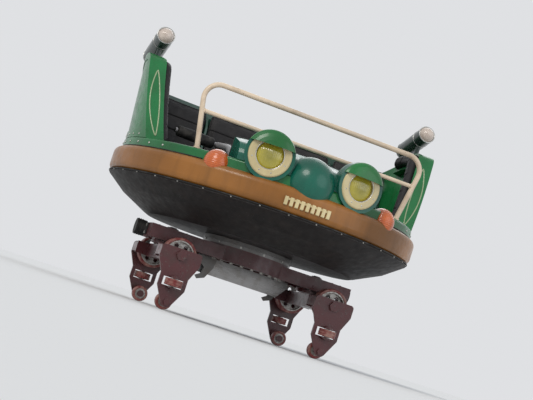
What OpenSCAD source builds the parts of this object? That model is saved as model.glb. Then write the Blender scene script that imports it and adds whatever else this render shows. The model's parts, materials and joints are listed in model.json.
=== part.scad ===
// Spinning roller coaster car: four seats side by side in a round tub that turns
// freely on a railed chassis with two swivelling bogies.
// Rest frame: Z up from the floor under the up-stop wheels, origin on the spin axis,
// seats face -Y, left is +X, and the chassis travels along +X.

/* [Rail and wheels] */
// Distance between the two rail centres
gauge = 900; // [860:10:940]
// Diameter of the rail tube that the wheels hug
rail_d = 140; // [125:5:150]
// Distance between the two bogie pivots
wheelbase = 1100; // [1040:20:1160]
// Diameter of a road wheel, which runs on top of the rail
road_d = 230; // [210:5:240]
// Width of a road wheel
road_w = 80; // [60:5:90]
// Diameter of a side wheel, which runs along the rail's outer side
side_d = 120; // [100:5:130]
// Width of a side wheel
side_w = 46; // [36:2:52]
// Diameter of an up-stop wheel, which hangs under the rail
upstop_d = 110; // [100:5:130]
// Width of an up-stop wheel
upstop_w = 50; // [40:2:60]
// Gap between the rail and an up-stop wheel
upstop_gap = 6; // [4:1:10]
// Gap between the rail and a side wheel
side_gap = 3; // [2:1:6]
// Thickness of a wheel's tyre
tyre_t = 18; // [12:1:22]
// Diameter of a road wheel's axle
road_axle_d = 44; // [36:2:50]
// Diameter of a side wheel's pin
side_pin_d = 24; // [20:1:28]
// Diameter of an up-stop wheel's axle
upstop_axle_d = 28; // [22:1:32]
// Free space beside a wheel in its carrier
wheel_clear = 10; // [8:1:14]

/* [Wheel carriers and bogies] */
// Thickness of the plates round a road wheel
cheek_t = 14; // [10:1:18]
// Height of the plates round a road wheel
cheek_h = 86; // [70:2:90]
// Thickness of the hanger plate outside the rail
hanger_t = 18; // [14:1:24]
// Gap between the rail and the hanger plate
hanger_gap = 15; // [12:1:20]
// Thickness of the two lugs that hold a side wheel's pin
lug_t = 12; // [10:1:16]
// Length of the axle beam's box section along the car
beam_w = 110; // [90:5:130]
// Height of the axle beam's box section
beam_h = 96; // [86:2:100]
// Diameter of the swivel plate on a bogie
swivel_d = 240; // [200:10:260]
// Thickness of a swivel plate
swivel_t = 12; // [10:1:16]
// Gap between the two greased swivel plates
swivel_gap = 1; // [0.5:0.5:2]
// Diameter of the king pin that a bogie swivels on
king_d = 50; // [40:2:60]

/* [Chassis] */
// Length of the chassis frame
frame_l = 1480; // [1440:20:1600]
// Distance between the centres of the two long members
frame_w = 420; // [380:10:440]
// Width of a long member
member_w = 60; // [50:5:70]
// Height of the frame's members
frame_h = 90; // [80:5:100]
// Length of the cross member over a bogie
king_block_l = 140; // [120:10:160]
// Thickness of the ring plate under the slewing ring
ring_plate_t = 14; // [10:1:18]
// Outer diameter of the slewing ring
race_od = 640; // [600:10:680]
// Inner diameter of the slewing ring
race_id = 520; // [480:10:540]
// Height of each race of the slewing ring
race_h = 24; // [20:2:30]
// Gap between the two races
race_gap = 1; // [0.5:0.5:2]
// Diameter of a rubber buffer
buffer_d = 110; // [90:5:120]
// Length of a rubber buffer
buffer_l = 70; // [50:5:80]
// Length of the brake fin
fin_l = 720; // [600:20:760]
// Depth of the brake fin below the frame
fin_h = 120; // [90:5:140]
// Thickness of the brake fin
fin_t = 12; // [8:1:16]

/* [Seats] */
// Distance between the middles of the two seats of a pair
seat_pitch = 425; // [415:5:440]
// Angle by which each pair of seats turns in towards the middle
toe_in = 7; // [4:1:9]
// How far behind the spin axis the middle of a pair of seats lies
pair_y = 22; // [15:1:40]
// Height of the seat pan above the floor plate
pan_top = 300; // [280:5:320]
// Height of the backrest above the seat pan
backrest_h = 555; // [530:5:580]
// Angle by which the backrest leans back
recline = 10; // [6:1:12]
// Thickness of the moulded bench
bench_t = 24; // [18:1:28]
// Depth of a seat cushion, from its front edge to the backrest
seat_depth = 440; // [420:5:460]
// Thickness of a seat cushion
cushion_t = 85; // [70:5:100]
// Thickness of a back cushion
back_cushion_t = 75; // [60:5:90]
// Space between neighbouring cushions
cushion_gap = 16; // [12:1:24]
// Space between the outermost cushion's corner and the body shell
wall_gap = 10; // [6:1:20]
// Thickness of the pad on each side wing's bolster
side_pad_t = 55; // [44:1:60]

/* [Tub] */
// Height of the rim band, the widest part of the car
rim_h = 170; // [150:5:190]
// Thickness of the rim band
rim_t = 92; // [90:2:100]
// Rounding of the rim band's outer edges
rim_round = 45; // [38:1:45]
// Height of the tapered pan below the rim band
pan_h = 211; // [190:5:230]
// Radius of the pan's flat bottom
pan_r = 780; // [740:10:820]
// Thickness of the pan
pan_t = 16; // [12:1:20]
// Thickness of the floor plate
floor_t = 12; // [8:1:16]
// Height of the green sill on the rim band
sill_h = 65; // [55:5:75]
// Rounding of the sill's top edge
sill_round = 16; // [10:1:20]
// Thickness of the front bulkhead
bulkhead_t = 14; // [10:1:20]

/* [Side wings and back] */
// Thickness of the moulded shell
shell_t = 60; // [50:2:66]
// How far the sill stands out from the shell above it
shell_step = 5; // [3:1:8]
// Height of the side wings above the sill
wing_h = 600; // [580:10:620]
// Height of the shell above the sill behind the seats
back_h = 360; // [340:5:380]
// How far forward of the spin axis a wing's foot reaches
wing_foot = 360; // [320:10:400]
// Angle by which a wing's front edge leans back
wing_lean = 24; // [20:1:28]
// Angle by which the shell flares outwards
wing_flare = 5; // [3:0.5:6]
// Width of the bolster inside a wing's front and top edge
bolster_t = 60; // [50:5:70]
// Depth of that bolster, back from the wing's edge
bolster_w = 120; // [100:5:130]
// Angle round the tub, from straight ahead, of the bolster's rear end
bolster_a = 104; // [102:1:106]
// Rounding of a wing's upper corner
wing_round = 90; // [70:5:110]
// Length of a wing's level top
wing_flat = 110; // [90:5:130]
// Length over which the shell falls from the wings to the back
wing_fall = 620; // [560:10:680]
// Width of the raised border round the panels
border_w = 46; // [36:2:56]
// Depth of the panels inside their border
panel_d = 6; // [4:1:8]
// Angle round the tub, from straight ahead, of the joint between wing and back
seam_a = 118; // [114:1:122]
// Gap at a moulded joint
seam_gap = 2; // [1:0.5:3]

/* [Lap bars] */
// Height of a lap bar's pivot above the floor plate
pivot_h = 72; // [66:2:80]
// How far in front of the pair's middle the pivot lies
pivot_y = 360; // [350:5:375]
// Diameter of the lap bar's post
post_d = 48; // [42:1:54]
// Bend radius of the lap bar's post
post_bend = 110; // [90:5:130]
// Height of the crossbar above the pivot
bar_h = 500; // [490:5:520]
// How far behind its pivot the crossbar lies
bar_reach = 300; // [280:5:310]
// Diameter of the crossbar's tube
bar_d = 34; // [28:1:38]
// Length of the crossbar
bar_l = 660; // [640:5:670]
// Diameter of a foam pad on the crossbar
pad_d = 80; // [70:2:90]
// Diameter of the lap bar's pivot pin
pivot_d = 30; // [24:1:34]

/* [Guard rail] */
// Diameter of the guard rail's tube
tube_d = 34; // [30:1:42]
// Height of the top rail above the sill
guard_h = 440; // [430:1:460]
// Height of the lower rail above the sill
guard_mid_h = 245; // [232:1:255]
// How far behind the rim band's foremost point the guard rail stands
guard_back = 365; // [355:5:375]
// Angle by which the guard rail's posts lean outwards
guard_splay = 11; // [9:0.5:12]
// Bend radius of the guard rail
guard_bend = 105; // [80:5:115]

/* [Bonnet and lamps] */
// Height of the bonnet above the sill
bonnet_h = 197; // [185:1:205]
// Length of the bonnet, from the rim band's foremost point to its rear wall
bonnet_l = 410; // [400:5:420]
// Distance from the middle to the bonnet's end
bonnet_x = 490; // [484:2:500]
// Rounding of the bonnet's shoulder
bonnet_round = 95; // [80:5:110]
// Radius of the round nose
nose_r = 172; // [165:1:180]
// Height of the nose's middle above the rim band
nose_h = 62; // [56:1:70]
// How far the nose stands out in front of the rim band
nose_out = 30; // [24:1:34]
// Distance from the middle to a headlamp
lamp_x = 316; // [312:1:322]
// Height of a headlamp's middle above the rim band
lamp_h = 143; // [140:1:155]
// How far a headlamp's face lies behind the rim band's foremost point
lamp_back = 64; // [60:1:66]
// Angle by which a headlamp turns outwards
lamp_splay = 12; // [10:1:14]
// Depth of a headlamp housing's round back
lamp_depth = 130; // [110:5:135]
// Thickness of a headlamp housing round its bezel
lamp_wall = 22; // [18:1:26]
// Bulge of the lid over a headlamp
hood_bulge = 48; // [44:1:50]
// Thickness of the lid over a headlamp
hood_t = 12; // [8:1:14]
// Height of the lid's lower edge above the headlamp's middle
hood_edge = 60; // [54:1:68]
// Diameter of a headlamp's pale bezel
bezel_d = 280; // [272:2:284]
// Diameter of a headlamp's lens
lens_d = 176; // [168:2:184]
// Radius of an orange marker lamp
marker_r = 88; // [80:1:92]
// Height of a marker lamp's middle above the rim band
marker_h = 6; // [0:1:12]
// How far a marker lamp stands out from the rim band
marker_out = 12; // [6:1:16]
// Space between a marker lamp and the bonnet's end
marker_gap = 4; // [2:1:8]
// Number of bars in the grille
grille_bars = 9; // [7:2:11]
// Width of a grille bar
grille_bar_w = 22; // [16:1:24]
// Height of the grille
grille_h = 56; // [46:1:66]
// Angle round the tub that half the grille covers
grille_a = 7.5; // [6:0.5:9]
// How far the grille stands out from the rim band
grille_t = 14; // [10:1:18]
// Length of a wing lamp
wing_lamp_l = 440; // [420:10:460]
// Diameter of a wing lamp
wing_lamp_d = 126; // [116:2:134]
// Angle by which a wing lamp points up
wing_lamp_tilt = 17; // [12:1:20]
// Height of a wing lamp's underside above the wing's top, at the lamp's middle
wing_lamp_gap = 34; // [26:1:44]
// How far behind the front of the wing's level top the lamp's middle lies
wing_lamp_back = 250; // [240:5:270]
// Diameter of a wing lamp's two stems
stem_d = 34; // [28:2:40]

/* [Hidden] */
$fn = 64;

// Running clearance between a pin and its bore, on the radius
run_clear = 0.05;
// Clearance between a cushion and what carries it
rest_clear = 0.3;

// Heights of the wheels, from the floor up
upstop_z = upstop_d / 2;
rail_z = upstop_d + upstop_gap + rail_d / 2;
road_z = rail_z + rail_d / 2 + road_d / 2;
side_y = gauge / 2 + rail_d / 2 + side_gap + side_d / 2;

// Plates of a wheel carrier, outwards from the middle of the car
cheek_y = gauge / 2 - road_w / 2 - wheel_clear - cheek_t;
hanger_y = gauge / 2 + rail_d / 2 + hanger_gap;
cheek_x = road_d / 2 + wheel_clear;

// Levels of the chassis, from the bogies up
swivel_z = road_z + beam_h / 2;
frame_z = swivel_z + 2 * swivel_t + swivel_gap;
race_z = frame_z + frame_h + ring_plate_t;
ring_inner_d = race_id - 80;

// Levels of the tub
pan_z = race_z + 2 * race_h + race_gap;
floor_z = pan_z + pan_t + floor_t;
rim_z = pan_z + pan_h;
sill_z = rim_z + rim_h;
shell_z = sill_z + sill_h;
wing_z = shell_z + wing_h;
back_z = shell_z + back_h;

// Seats in their pair's own frame
seat_z = floor_z + pan_top;
backrest_z = seat_z + backrest_h;
pan_fall = 20;
seat_front = -seat_depth / 2 - 20;
seat_back = seat_depth / 2 + back_cushion_t;
back_lean = (backrest_h + pan_fall) * tan(recline);
pivot_z = floor_z + pivot_h;
cushion_x = seat_pitch - cushion_gap / 2;
pair_x = cushion_x * cos(toe_in) - seat_front * sin(toe_in) + cushion_gap / 2;

// The tub's radius follows from the outermost cushion corner
corner_x = pair_x + cushion_x * cos(toe_in) + (seat_back + back_lean) * sin(toe_in);
corner_y = pair_y - cushion_x * sin(toe_in) + (seat_back + back_lean) * cos(toe_in);
cabin_r = norm([corner_x, corner_y]) + wall_gap;
shell_r = cabin_r + shell_t;
sill_r = shell_r + shell_step;
rim_r = sill_r + rim_round;
sill_mid_r = (sill_r + cabin_r) / 2;
pan_top_r = rim_r - 15;

// Places of what stands on the sill
bolster_r = cabin_r - bolster_t;
wing_crest = -wing_foot + (wing_h - wing_round) * tan(wing_lean) + wing_round / cos(wing_lean);
guard_y = rim_r - guard_back;
guard_foot = sqrt(pow(sill_mid_r, 2) - pow(guard_y, 2));
guard_top = guard_foot + guard_h * tan(guard_splay);
bonnet_y = rim_r - bonnet_l;
bonnet_z = shell_z + bonnet_h;
nose_z = sill_z + nose_h;
housing_r = bezel_d / 2 + lamp_wall;
lamp_z = sill_z + lamp_h;
marker_y = rim_r + marker_out - marker_r;
marker_a = asin((bonnet_x + marker_r + marker_gap) / marker_y);
wing_lamp_y = wing_crest + wing_lamp_back;
stem_reach = wing_lamp_l / 4;
wing_lamp_x = sqrt(pow((cabin_r + shell_r) / 2 + wing_h * tan(wing_flare), 2)
    - pow(wing_lamp_y + stem_reach, 2));

// Points of an arc in a plane, with n steps from angle a0 to angle a1
function arc(x, y, r, a0, a1, n) =
    [for (i = [0 : n]) let (a = a0 + (a1 - a0) * i / n) [x + r * cos(a), y + r * sin(a)]];

// A smooth step from 0 to 1
function ease(t) = t <= 0 ? 0 : t >= 1 ? 1 : t * t * (3 - 2 * t);

// A cylinder along Y, starting at y0
module y_bar(d, y0, l) {
    translate([0, y0, 0]) rotate([-90, 0, 0]) cylinder(d = d, h = l);
}

// A cylinder along X, centred
module x_bar(d, l) {
    rotate([0, 90, 0]) cylinder(d = d, h = l, center = true);
}

// A rectangle with round corners, as plain squares and circles
module round_rect(w, h, r) {
    translate([r, 0]) square([w - 2 * r, h]);
    translate([0, r]) square([w, h - 2 * r]);
    for (x = [r, w - r], y = [r, h - r]) translate([x, y]) circle(r);
}

// A bent tube in the XZ plane through the points p, all bends of radius r
module bent_tube(p, d, r) {
    n = len(p);
    function unit(a, b) = (b - a) / norm(b - a);
    function side(u, v) = u[0] * v[1] - u[1] * v[0];
    function turn(i) = acos(min(1, unit(p[i - 1], p[i]) * unit(p[i], p[i + 1])));
    function cut(i) = i == 0 || i == n - 1 ? 0 : r * tan(turn(i) / 2);
    rotate([90, 0, 0]) {
        for (i = [0 : n - 2]) {
            u = unit(p[i], p[i + 1]);
            // Each straight run reaches a little into the bends beside it
            from = cut(i) - (i > 0 ? 1 : 0);
            to = norm(p[i + 1] - p[i]) - cut(i + 1) + (i < n - 2 ? 1 : 0);
            translate(p[i] + u * from) rotate([0, 0, atan2(u[1], u[0])])
                rotate([0, 90, 0]) cylinder(d = d, h = to - from);
        }
        for (i = [1 : 1 : n - 2]) {
            u = unit(p[i - 1], p[i]);
            v = unit(p[i], p[i + 1]);
            s = side(u, v) > 0 ? 1 : -1;
            centre = p[i] - u * cut(i) + s * r * [-u[1], u[0]];
            start = atan2(-s * u[0], s * u[1]);
            translate(centre) rotate([0, 0, s > 0 ? start : start - turn(i)])
                rotate_extrude(angle = turn(i)) translate([r, 0]) circle(d = d + 0.2);
        }
    }
}

// A ring about the spin axis, with a rectangular section
module ring(r0, r1, z0, z1) {
    difference() {
        translate([0, 0, z0]) cylinder(r = r1, h = z1 - z0, $fn = 128);
        translate([0, 0, z0 - 1]) cylinder(r = r0, h = z1 - z0 + 2, $fn = 128);
    }
}

// Part of a ring of section children(), between two angles from straight ahead, on the left
module left_sector(a0, a1) {
    rotate([0, 0, a0 - 90]) rotate_extrude(angle = a1 - a0, $fn = 128) children();
}

// Puts children() at one corner of the chassis: end is 1 at the lead, side is -1 under the bonnet
module corner(end, side) {
    translate([end * wheelbase / 2, 0, 0]) mirror([0, side < 0 ? 1 : 0, 0]) children();
}

// Puts children() in a pair of seats' own frame: side is 1 for the left
module pair(side) {
    translate([side * pair_x, pair_y, 0]) rotate([0, 0, -side * toe_in]) children();
}

// Half of a wheel's section: tyre, thin web and hub
module wheel_section(d, w, bore_d) {
    hub_r = bore_d / 2 + 16;
    rim_in = d / 2 - tyre_t - 8;
    difference() {
        union() {
            translate([d / 2 - tyre_t, -w / 2]) round_rect(tyre_t, w, 6);
            translate([rim_in, -w / 2 + 3]) square([12, w - 6]);
            translate([hub_r - 1, -w / 6]) square([rim_in - hub_r + 2, w / 3]);
            translate([bore_d / 2 + run_clear, -w / 2 - 3])
                square([hub_r - bore_d / 2 - run_clear, w + 6]);
        }
        // Two shallow grooves in the tread
        for (s = [-1, 1]) translate([d / 2, s * w / 5]) circle(2.5);
    }
}

// Road wheel, with round holes through its web
module road_wheel(end, side) {
    hole_r = (road_d / 2 - tyre_t - 8 + road_axle_d / 2 + 16) / 2;
    color([0.30, 0.08, 0.08]) corner(end, side)
        translate([0, gauge / 2, road_z]) rotate([90, 0, 0]) difference() {
            rotate_extrude() wheel_section(road_d, road_w, road_axle_d);
            for (i = [0 : 5]) rotate([0, 0, 60 * i]) translate([hole_r, 0, 0])
                cylinder(d = 32, h = road_w, center = true);
        }
}

module side_wheel(end, side) {
    color([0.30, 0.08, 0.08]) corner(end, side)
        translate([0, side_y, rail_z]) rotate_extrude() wheel_section(side_d, side_w, side_pin_d);
}

module upstop_wheel(end, side) {
    color([0.30, 0.08, 0.08]) corner(end, side)
        translate([0, gauge / 2, upstop_z]) rotate([90, 0, 0])
            rotate_extrude() wheel_section(upstop_d, upstop_w, upstop_axle_d);
}

// Outline of the hanger plate, seen along the axles
module hanger_outline() {
    top = road_z + cheek_h / 2;
    bottom = road_z - cheek_h / 2;
    full = cheek_x + cheek_t;
    waist = side_d / 2 + 34;
    foot = upstop_z - 16;
    polygon(concat(
        [[full, bottom]], arc(full - 22, top - 22, 22, 0, 90, 6),
        arc(-full + 22, top - 22, 22, 90, 180, 6), [[-full, bottom]],
        [[-waist, rail_z + side_w], [-waist, rail_z - side_w / 2 - 12]],
        arc(0, foot + 22, 40, 200, 340, 8),
        [[waist, rail_z - side_w / 2 - 12], [waist, rail_z + side_w]]
    ));
}

// Welded box round a road wheel, with the hanger that holds the side and up-stop wheels
module wheel_carrier(end, side) {
    lug_z = side_w / 2 + 5;
    color([0.25, 0.07, 0.08]) corner(end, side) {
        difference() {
            union() {
                translate([0, hanger_y + hanger_t, 0]) rotate([90, 0, 0])
                    linear_extrude(hanger_t) hanger_outline();
                for (s = [-1, 1]) translate([s * side_d / 4 - 15, hanger_y, road_z - cheek_h / 2])
                    cube([30, hanger_t, 10]);
            }
            // Window that the side wheel passes through
            translate([-side_d / 2 - 8, hanger_y - 1, rail_z - side_w / 2 - 5])
                cube([side_d + 16, hanger_t + 2, side_w + 10]);
        }
        // Inner plate and the two cross plates round the road wheel
        translate([-cheek_x - cheek_t, cheek_y, road_z - cheek_h / 2])
            cube([2 * (cheek_x + cheek_t), cheek_t, cheek_h]);
        for (s = [-1, 1])
            translate([s * (cheek_x + cheek_t / 2) - cheek_t / 2, cheek_y + cheek_t, road_z - 34])
                cube([cheek_t, hanger_y - cheek_y - cheek_t, 68]);
        // Lugs above and below the side wheel, with its pin
        for (s = [-1, 1]) translate([0, 0, rail_z + s * (lug_z + lug_t / 2) - lug_t / 2]) {
            translate([-30, hanger_y, 0]) cube([60, side_y - hanger_y, lug_t]);
            translate([0, side_y, 0]) cylinder(r = 30, h = lug_t);
        }
        translate([0, side_y, rail_z - lug_z - lug_t - 6])
            cylinder(d = side_pin_d, h = 2 * (lug_z + lug_t) + 12);
        // Road wheel's axle with its nut, and spacers beside the wheel
        translate([0, 0, road_z]) {
            y_bar(road_axle_d, cheek_y, hanger_y + hanger_t - cheek_y + 8);
            translate([0, hanger_y + hanger_t, 0]) rotate([-90, 0, 0])
                cylinder(d = road_axle_d + 26, h = 20, $fn = 6);
            y_bar(road_axle_d + 14, gauge / 2 + road_w / 2 + 8, hanger_y - gauge / 2 - road_w / 2 - 8);
        }
        // Up-stop wheel's axle, its end washer and its nut
        translate([0, 0, upstop_z]) {
            y_bar(upstop_axle_d, gauge / 2 - upstop_w / 2 - 14, hanger_y - gauge / 2 + upstop_w / 2 + 20);
            y_bar(upstop_axle_d + 20, gauge / 2 - upstop_w / 2 - 14, 6);
            y_bar(upstop_axle_d + 14, gauge / 2 + upstop_w / 2 + 8, hanger_y - gauge / 2 - upstop_w / 2 - 8);
            translate([0, hanger_y + hanger_t, 0]) rotate([-90, 0, 0])
                cylinder(d = upstop_axle_d + 16, h = 14, $fn = 6);
        }
    }
}

// Box beam across the car between two wheel carriers, with the swivel plate and king pin
module axle_beam(end) {
    color([0.25, 0.07, 0.08]) translate([end * wheelbase / 2, 0, 0]) {
        difference() {
            translate([-beam_w / 2, -cheek_y, road_z - beam_h / 2])
                cube([beam_w, 2 * cheek_y, beam_h]);
            // Beam is cut away below its ends
            for (s = [-1, 1]) translate([-beam_w / 2 - 1, s * (cheek_y - 60), road_z - beam_h / 2 - 40])
                rotate([s * 30, 0, 0]) translate([0, -30, -40]) cube([beam_w + 2, 60, 60]);
        }
        translate([0, 0, swivel_z]) cylinder(d = swivel_d, h = swivel_t);
        translate([0, 0, swivel_z + swivel_t])
            cylinder(d = king_d, h = frame_z + frame_h - swivel_z - swivel_t + 24);
        translate([0, 0, frame_z + frame_h + 1]) cylinder(d = king_d + 30, h = 18, $fn = 6);
    }
}

// Welded frame: two long members, cross members, king pin blocks and the ring seat
module chassis_frame() {
    inner = frame_w / 2 - member_w / 2;
    color([0.25, 0.07, 0.08]) difference() {
        union() {
            for (s = [-1, 1]) translate([-frame_l / 2, s * frame_w / 2 - member_w / 2, frame_z])
                cube([frame_l, member_w, frame_h]);
            for (s = [-1, 1]) {
                translate([s * (frame_l - member_w) / 2 - member_w / 2, -inner, frame_z])
                    cube([member_w, 2 * inner, frame_h]);
                translate([s * wheelbase / 2 - king_block_l / 2, -inner, frame_z])
                    cube([king_block_l, 2 * inner, frame_h]);
                translate([s * wheelbase / 2, 0, frame_z - swivel_t])
                    cylinder(d = swivel_d, h = swivel_t);
            }
            translate([0, 0, frame_z]) cylinder(d = race_od, h = frame_h + ring_plate_t, $fn = 128);
        }
        for (s = [-1, 1]) translate([s * wheelbase / 2, 0, frame_z - swivel_t - 1])
            cylinder(d = king_d + 2 * run_clear, h = frame_h + swivel_t + 2);
        translate([0, 0, frame_z - 1])
            cylinder(d = ring_inner_d, h = frame_h + ring_plate_t + 2, $fn = 128);
    }
}

module slew_ring_lower() {
    color([0.45, 0.45, 0.47]) ring(race_id / 2, race_od / 2, race_z, race_z + race_h);
}

// Upper race, whose spigot turns in the lower race
module slew_ring_upper() {
    top = race_z + race_h + race_gap;
    color([0.45, 0.45, 0.47]) {
        ring(ring_inner_d / 2, race_od / 2, top, top + race_h);
        ring(ring_inner_d / 2, race_id / 2 - run_clear, race_z + 2, top + 1);
    }
}

// A rubber buffer on a plate at each end of the frame
module buffers() {
    color([0.06, 0.06, 0.06]) for (s = [-1, 1])
        translate([s * frame_l / 2, 0, frame_z + frame_h / 2]) rotate([0, s * 90, 0]) {
            translate([-frame_h / 2 + 4, -110, 0]) cube([frame_h - 8, 220, 10]);
            cylinder(d = buffer_d, h = buffer_l);
        }
}

// Flat steel fin under the frame, gripped by the ride's brakes
module brake_fin() {
    color([0.5, 0.5, 0.5]) {
        translate([0, fin_t / 2, frame_z]) rotate([90, 0, 0]) linear_extrude(fin_t)
            polygon([[-fin_l / 2 + 60, -fin_h], [fin_l / 2 - 60, -fin_h],
                     [fin_l / 2, -fin_h / 3], [fin_l / 2, 0], [-fin_l / 2, 0], [-fin_l / 2, -fin_h / 3]]);
        for (s = [-1, 1]) translate([s * (ring_inner_d + race_od) / 4 - 30, -40, frame_z - 10])
            cube([60, 80, 10]);
    }
}

// Two hooked dogs under the ring: one for the lift chain, one against running back
module track_dogs() {
    color([0.35, 0.35, 0.36]) for (s = [-1, 1])
        translate([s * (ring_inner_d + race_od) / 4, s * 60 + 10, frame_z]) rotate([90, 0, 0]) linear_extrude(20)
            polygon([[-70, 0], [70, 0], [60, -70], [20, -150], [-30, -170], [-50, -150],
                     [-16, -128], [-4, -80], [-60, -40]]);
}

// Section of the pan's inside, from the floor up, drawn in by e
function pan_inside(e) = [
    [pan_r - 12 - e, pan_z + pan_t],
    [(pan_r + pan_top_r) / 2 + 4 - e, pan_z + pan_h / 2 + 4],
    [pan_top_r - pan_t - 8 - e, rim_z]
];

// Tapered black pan under the tub
module underpan() {
    color([0.05, 0.03, 0.03]) rotate_extrude($fn = 128) polygon(concat(
        [[0, pan_z + pan_t], [0, pan_z], [pan_r - 30, pan_z], [pan_r, pan_z + 12],
         [(pan_r + pan_top_r) / 2 + 24, pan_z + pan_h / 2 - 6], [pan_top_r, rim_z - 14],
         [pan_top_r, rim_z]],
        [for (i = [2 : -1 : 0]) pan_inside(0)[i]]
    ));
}

module floor_plate() {
    color([0.45, 0.45, 0.46]) translate([0, 0, pan_z + pan_t])
        cylinder(r = pan_r - 14, h = floor_t, $fn = 128);
}

// Section of the rim band, grown outwards by e
module rim_section(e) {
    translate([rim_r - rim_t, rim_z]) {
        square([rim_t - rim_round, rim_h + e]);
        translate([0, rim_round]) square([rim_t + e, rim_h - 2 * rim_round]);
        for (z = [rim_round, rim_h - rim_round]) translate([rim_t - rim_round, z])
            circle(rim_round + e);
    }
}

// Rounded ochre band round the widest part
module rim_band() {
    color([0.62, 0.34, 0.12]) rotate_extrude($fn = 128) rim_section(0);
}

// Section of the sill, grown outwards by e
module sill_section(e) {
    translate([cabin_r, sill_z]) {
        square([sill_r - cabin_r + e, sill_h - sill_round]);
        square([sill_r - cabin_r - sill_round, sill_h + e]);
        translate([sill_r - cabin_r - sill_round, sill_h - sill_round]) circle(sill_round + e);
    }
}

// Green sill on the rim band, which the body panels stand on
module body_sill() {
    color([0.10, 0.42, 0.20]) rotate_extrude($fn = 128) sill_section(0);
}

// Free space inside the tub and the body panels
module cabin_space() {
    e = rest_clear;
    rotate_extrude($fn = 128) polygon(concat(
        [[0, floor_z], [pan_r - 14, floor_z]],
        [for (i = [1 : 2]) pan_inside(e)[i]],
        [[rim_r - rim_t - e, rim_z], [rim_r - rim_t - e, sill_z], [cabin_r - e, sill_z],
         [cabin_r - e, wing_z], [0, wing_z]]
    ));
}

// Front bulkhead, from the floor up to the bonnet's rear wall
module bulkhead() {
    color([0.06, 0.20, 0.14]) intersection() {
        cabin_space();
        translate([-rim_r, -bonnet_y - bulkhead_t, floor_z])
            cube([2 * rim_r, bulkhead_t, shell_z - floor_z]);
    }
}

// Side view of the body panels, Y across and Z up, drawn in by e from the edge
function wing_line(e) = let (
        r = max(wing_round - e, 2),
        z = wing_z - e - r,
        y = -wing_foot + (z - shell_z) * tan(wing_lean) + (e + r) / cos(wing_lean)
    ) concat(
        [[-wing_foot + e / cos(wing_lean), shell_z]],
        arc(y, z, r, 180 - wing_lean, 90, 8),
        [for (i = [0 : 14]) let (t = i / 14)
            [wing_crest + wing_flat + wing_fall * t, back_z - e + (wing_h - back_h) * (1 - ease(t))]],
        [[rim_r, back_z - e], [rim_r, shell_z]]
    );

// The side view as a block across the car, from x0 outwards
module wing_block(x0, e) {
    translate([x0, 0, 0]) rotate([90, 0, 90]) linear_extrude(2 * rim_r - x0) polygon(wing_line(e));
}

// Flared ring with the shell's height, on the left, between two radii and two angles
module shell_ring(r0, r1, a0, a1) {
    flare = wing_h * tan(wing_flare);
    left_sector(a0, a1)
        polygon([[r0, shell_z], [r1, shell_z], [r1 + flare, wing_z], [r0 + flare, wing_z]]);
}

// Left wing: moulded shell cut to its side view, with a bolster inside its front and top
// edge, and a sunk panel inside a raised border outside
module wing_left() {
    joint = seam_gap / shell_r * 90 / PI;
    border = border_w / shell_r * 180 / PI;
    color([0.10, 0.42, 0.20]) difference() {
        union() {
            intersection() {
                shell_ring(cabin_r, shell_r, 40, seam_a - joint);
                wing_block(0, 0);
            }
            intersection() {
                shell_ring(bolster_r, cabin_r + 1, 40, bolster_a);
                difference() {
                    wing_block(0, 0);
                    wing_block(0, bolster_w);
                }
            }
        }
        intersection() {
            shell_ring(shell_r - panel_d, shell_r + 1, 40, seam_a - joint - border);
            wing_block(0, border_w);
            translate([0, -rim_r, shell_z + border_w]) cube([2 * rim_r, 2 * rim_r, wing_h]);
        }
    }
}

module wing_right() {
    mirror([1, 0, 0]) wing_left();
}

// Back of the moulded shell, between the two wings, with a sunk panel
module back_shell() {
    joint = seam_gap / shell_r * 90 / PI;
    border = border_w / shell_r * 180 / PI;
    color([0.10, 0.42, 0.20]) difference() {
        intersection() {
            shell_ring(cabin_r, shell_r, seam_a + joint, 360 - seam_a - joint);
            wing_block(-rim_r, 0);
        }
        intersection() {
            shell_ring(shell_r - panel_d, shell_r + 1, seam_a + joint + border,
                360 - seam_a - joint - border);
            wing_block(-rim_r, border_w);
            translate([-rim_r, 0, shell_z + border_w]) cube([2 * rim_r, 2 * rim_r, wing_h]);
        }
    }
}

// Pad on the left wing's bolster, beside the outer seat
module side_pad_left() {
    edge = 14;
    color([0.05, 0.05, 0.06]) intersection() {
        shell_ring(bolster_r - side_pad_t, bolster_r - rest_clear, 40, bolster_a - 1);
        difference() {
            wing_block(0, edge);
            wing_block(0, bolster_w - edge);
        }
        translate([0, -rim_r, shell_z + edge]) cube([rim_r, 2 * rim_r, wing_h]);
    }
}

module side_pad_right() {
    mirror([1, 0, 0]) side_pad_left();
}

// Side view of the bench in a pair's own frame, Y across and Z up
function bench_line() = let (
        cap = 2.4 * bench_t
    ) [
        [seat_front, floor_z], [seat_front - 8, seat_z - 14], [seat_front + 8, seat_z],
        [seat_back, seat_z - pan_fall], [seat_back + back_lean, backrest_z],
        [seat_back + back_lean + cap, backrest_z], [seat_back + back_lean + cap, backrest_z - 40],
        [seat_back + back_lean + bench_t - 8, backrest_z - 60],
        [seat_back + bench_t, seat_z - pan_fall - bench_t], [seat_front + bench_t, seat_z - bench_t - 4],
        [seat_front + bench_t, floor_z]
    ];

// Side view of the low rib between two cushions of a pair
function rib_line() = let (h = 62) [
        [seat_front + 30, seat_z - 2], [seat_front + 60, seat_z + h - 12], [seat_front + 90, seat_z + h],
        [seat_back - h - 8, seat_z + h - 16], [seat_back + 0.75 * back_lean - h, seat_z + 0.75 * backrest_h],
        [seat_back + 0.85 * back_lean - h / 2, seat_z + 0.85 * backrest_h],
        [seat_back + 0.9 * back_lean + 2, seat_z + 0.9 * backrest_h], [seat_back + 2, seat_z - 22]
    ];

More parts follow.
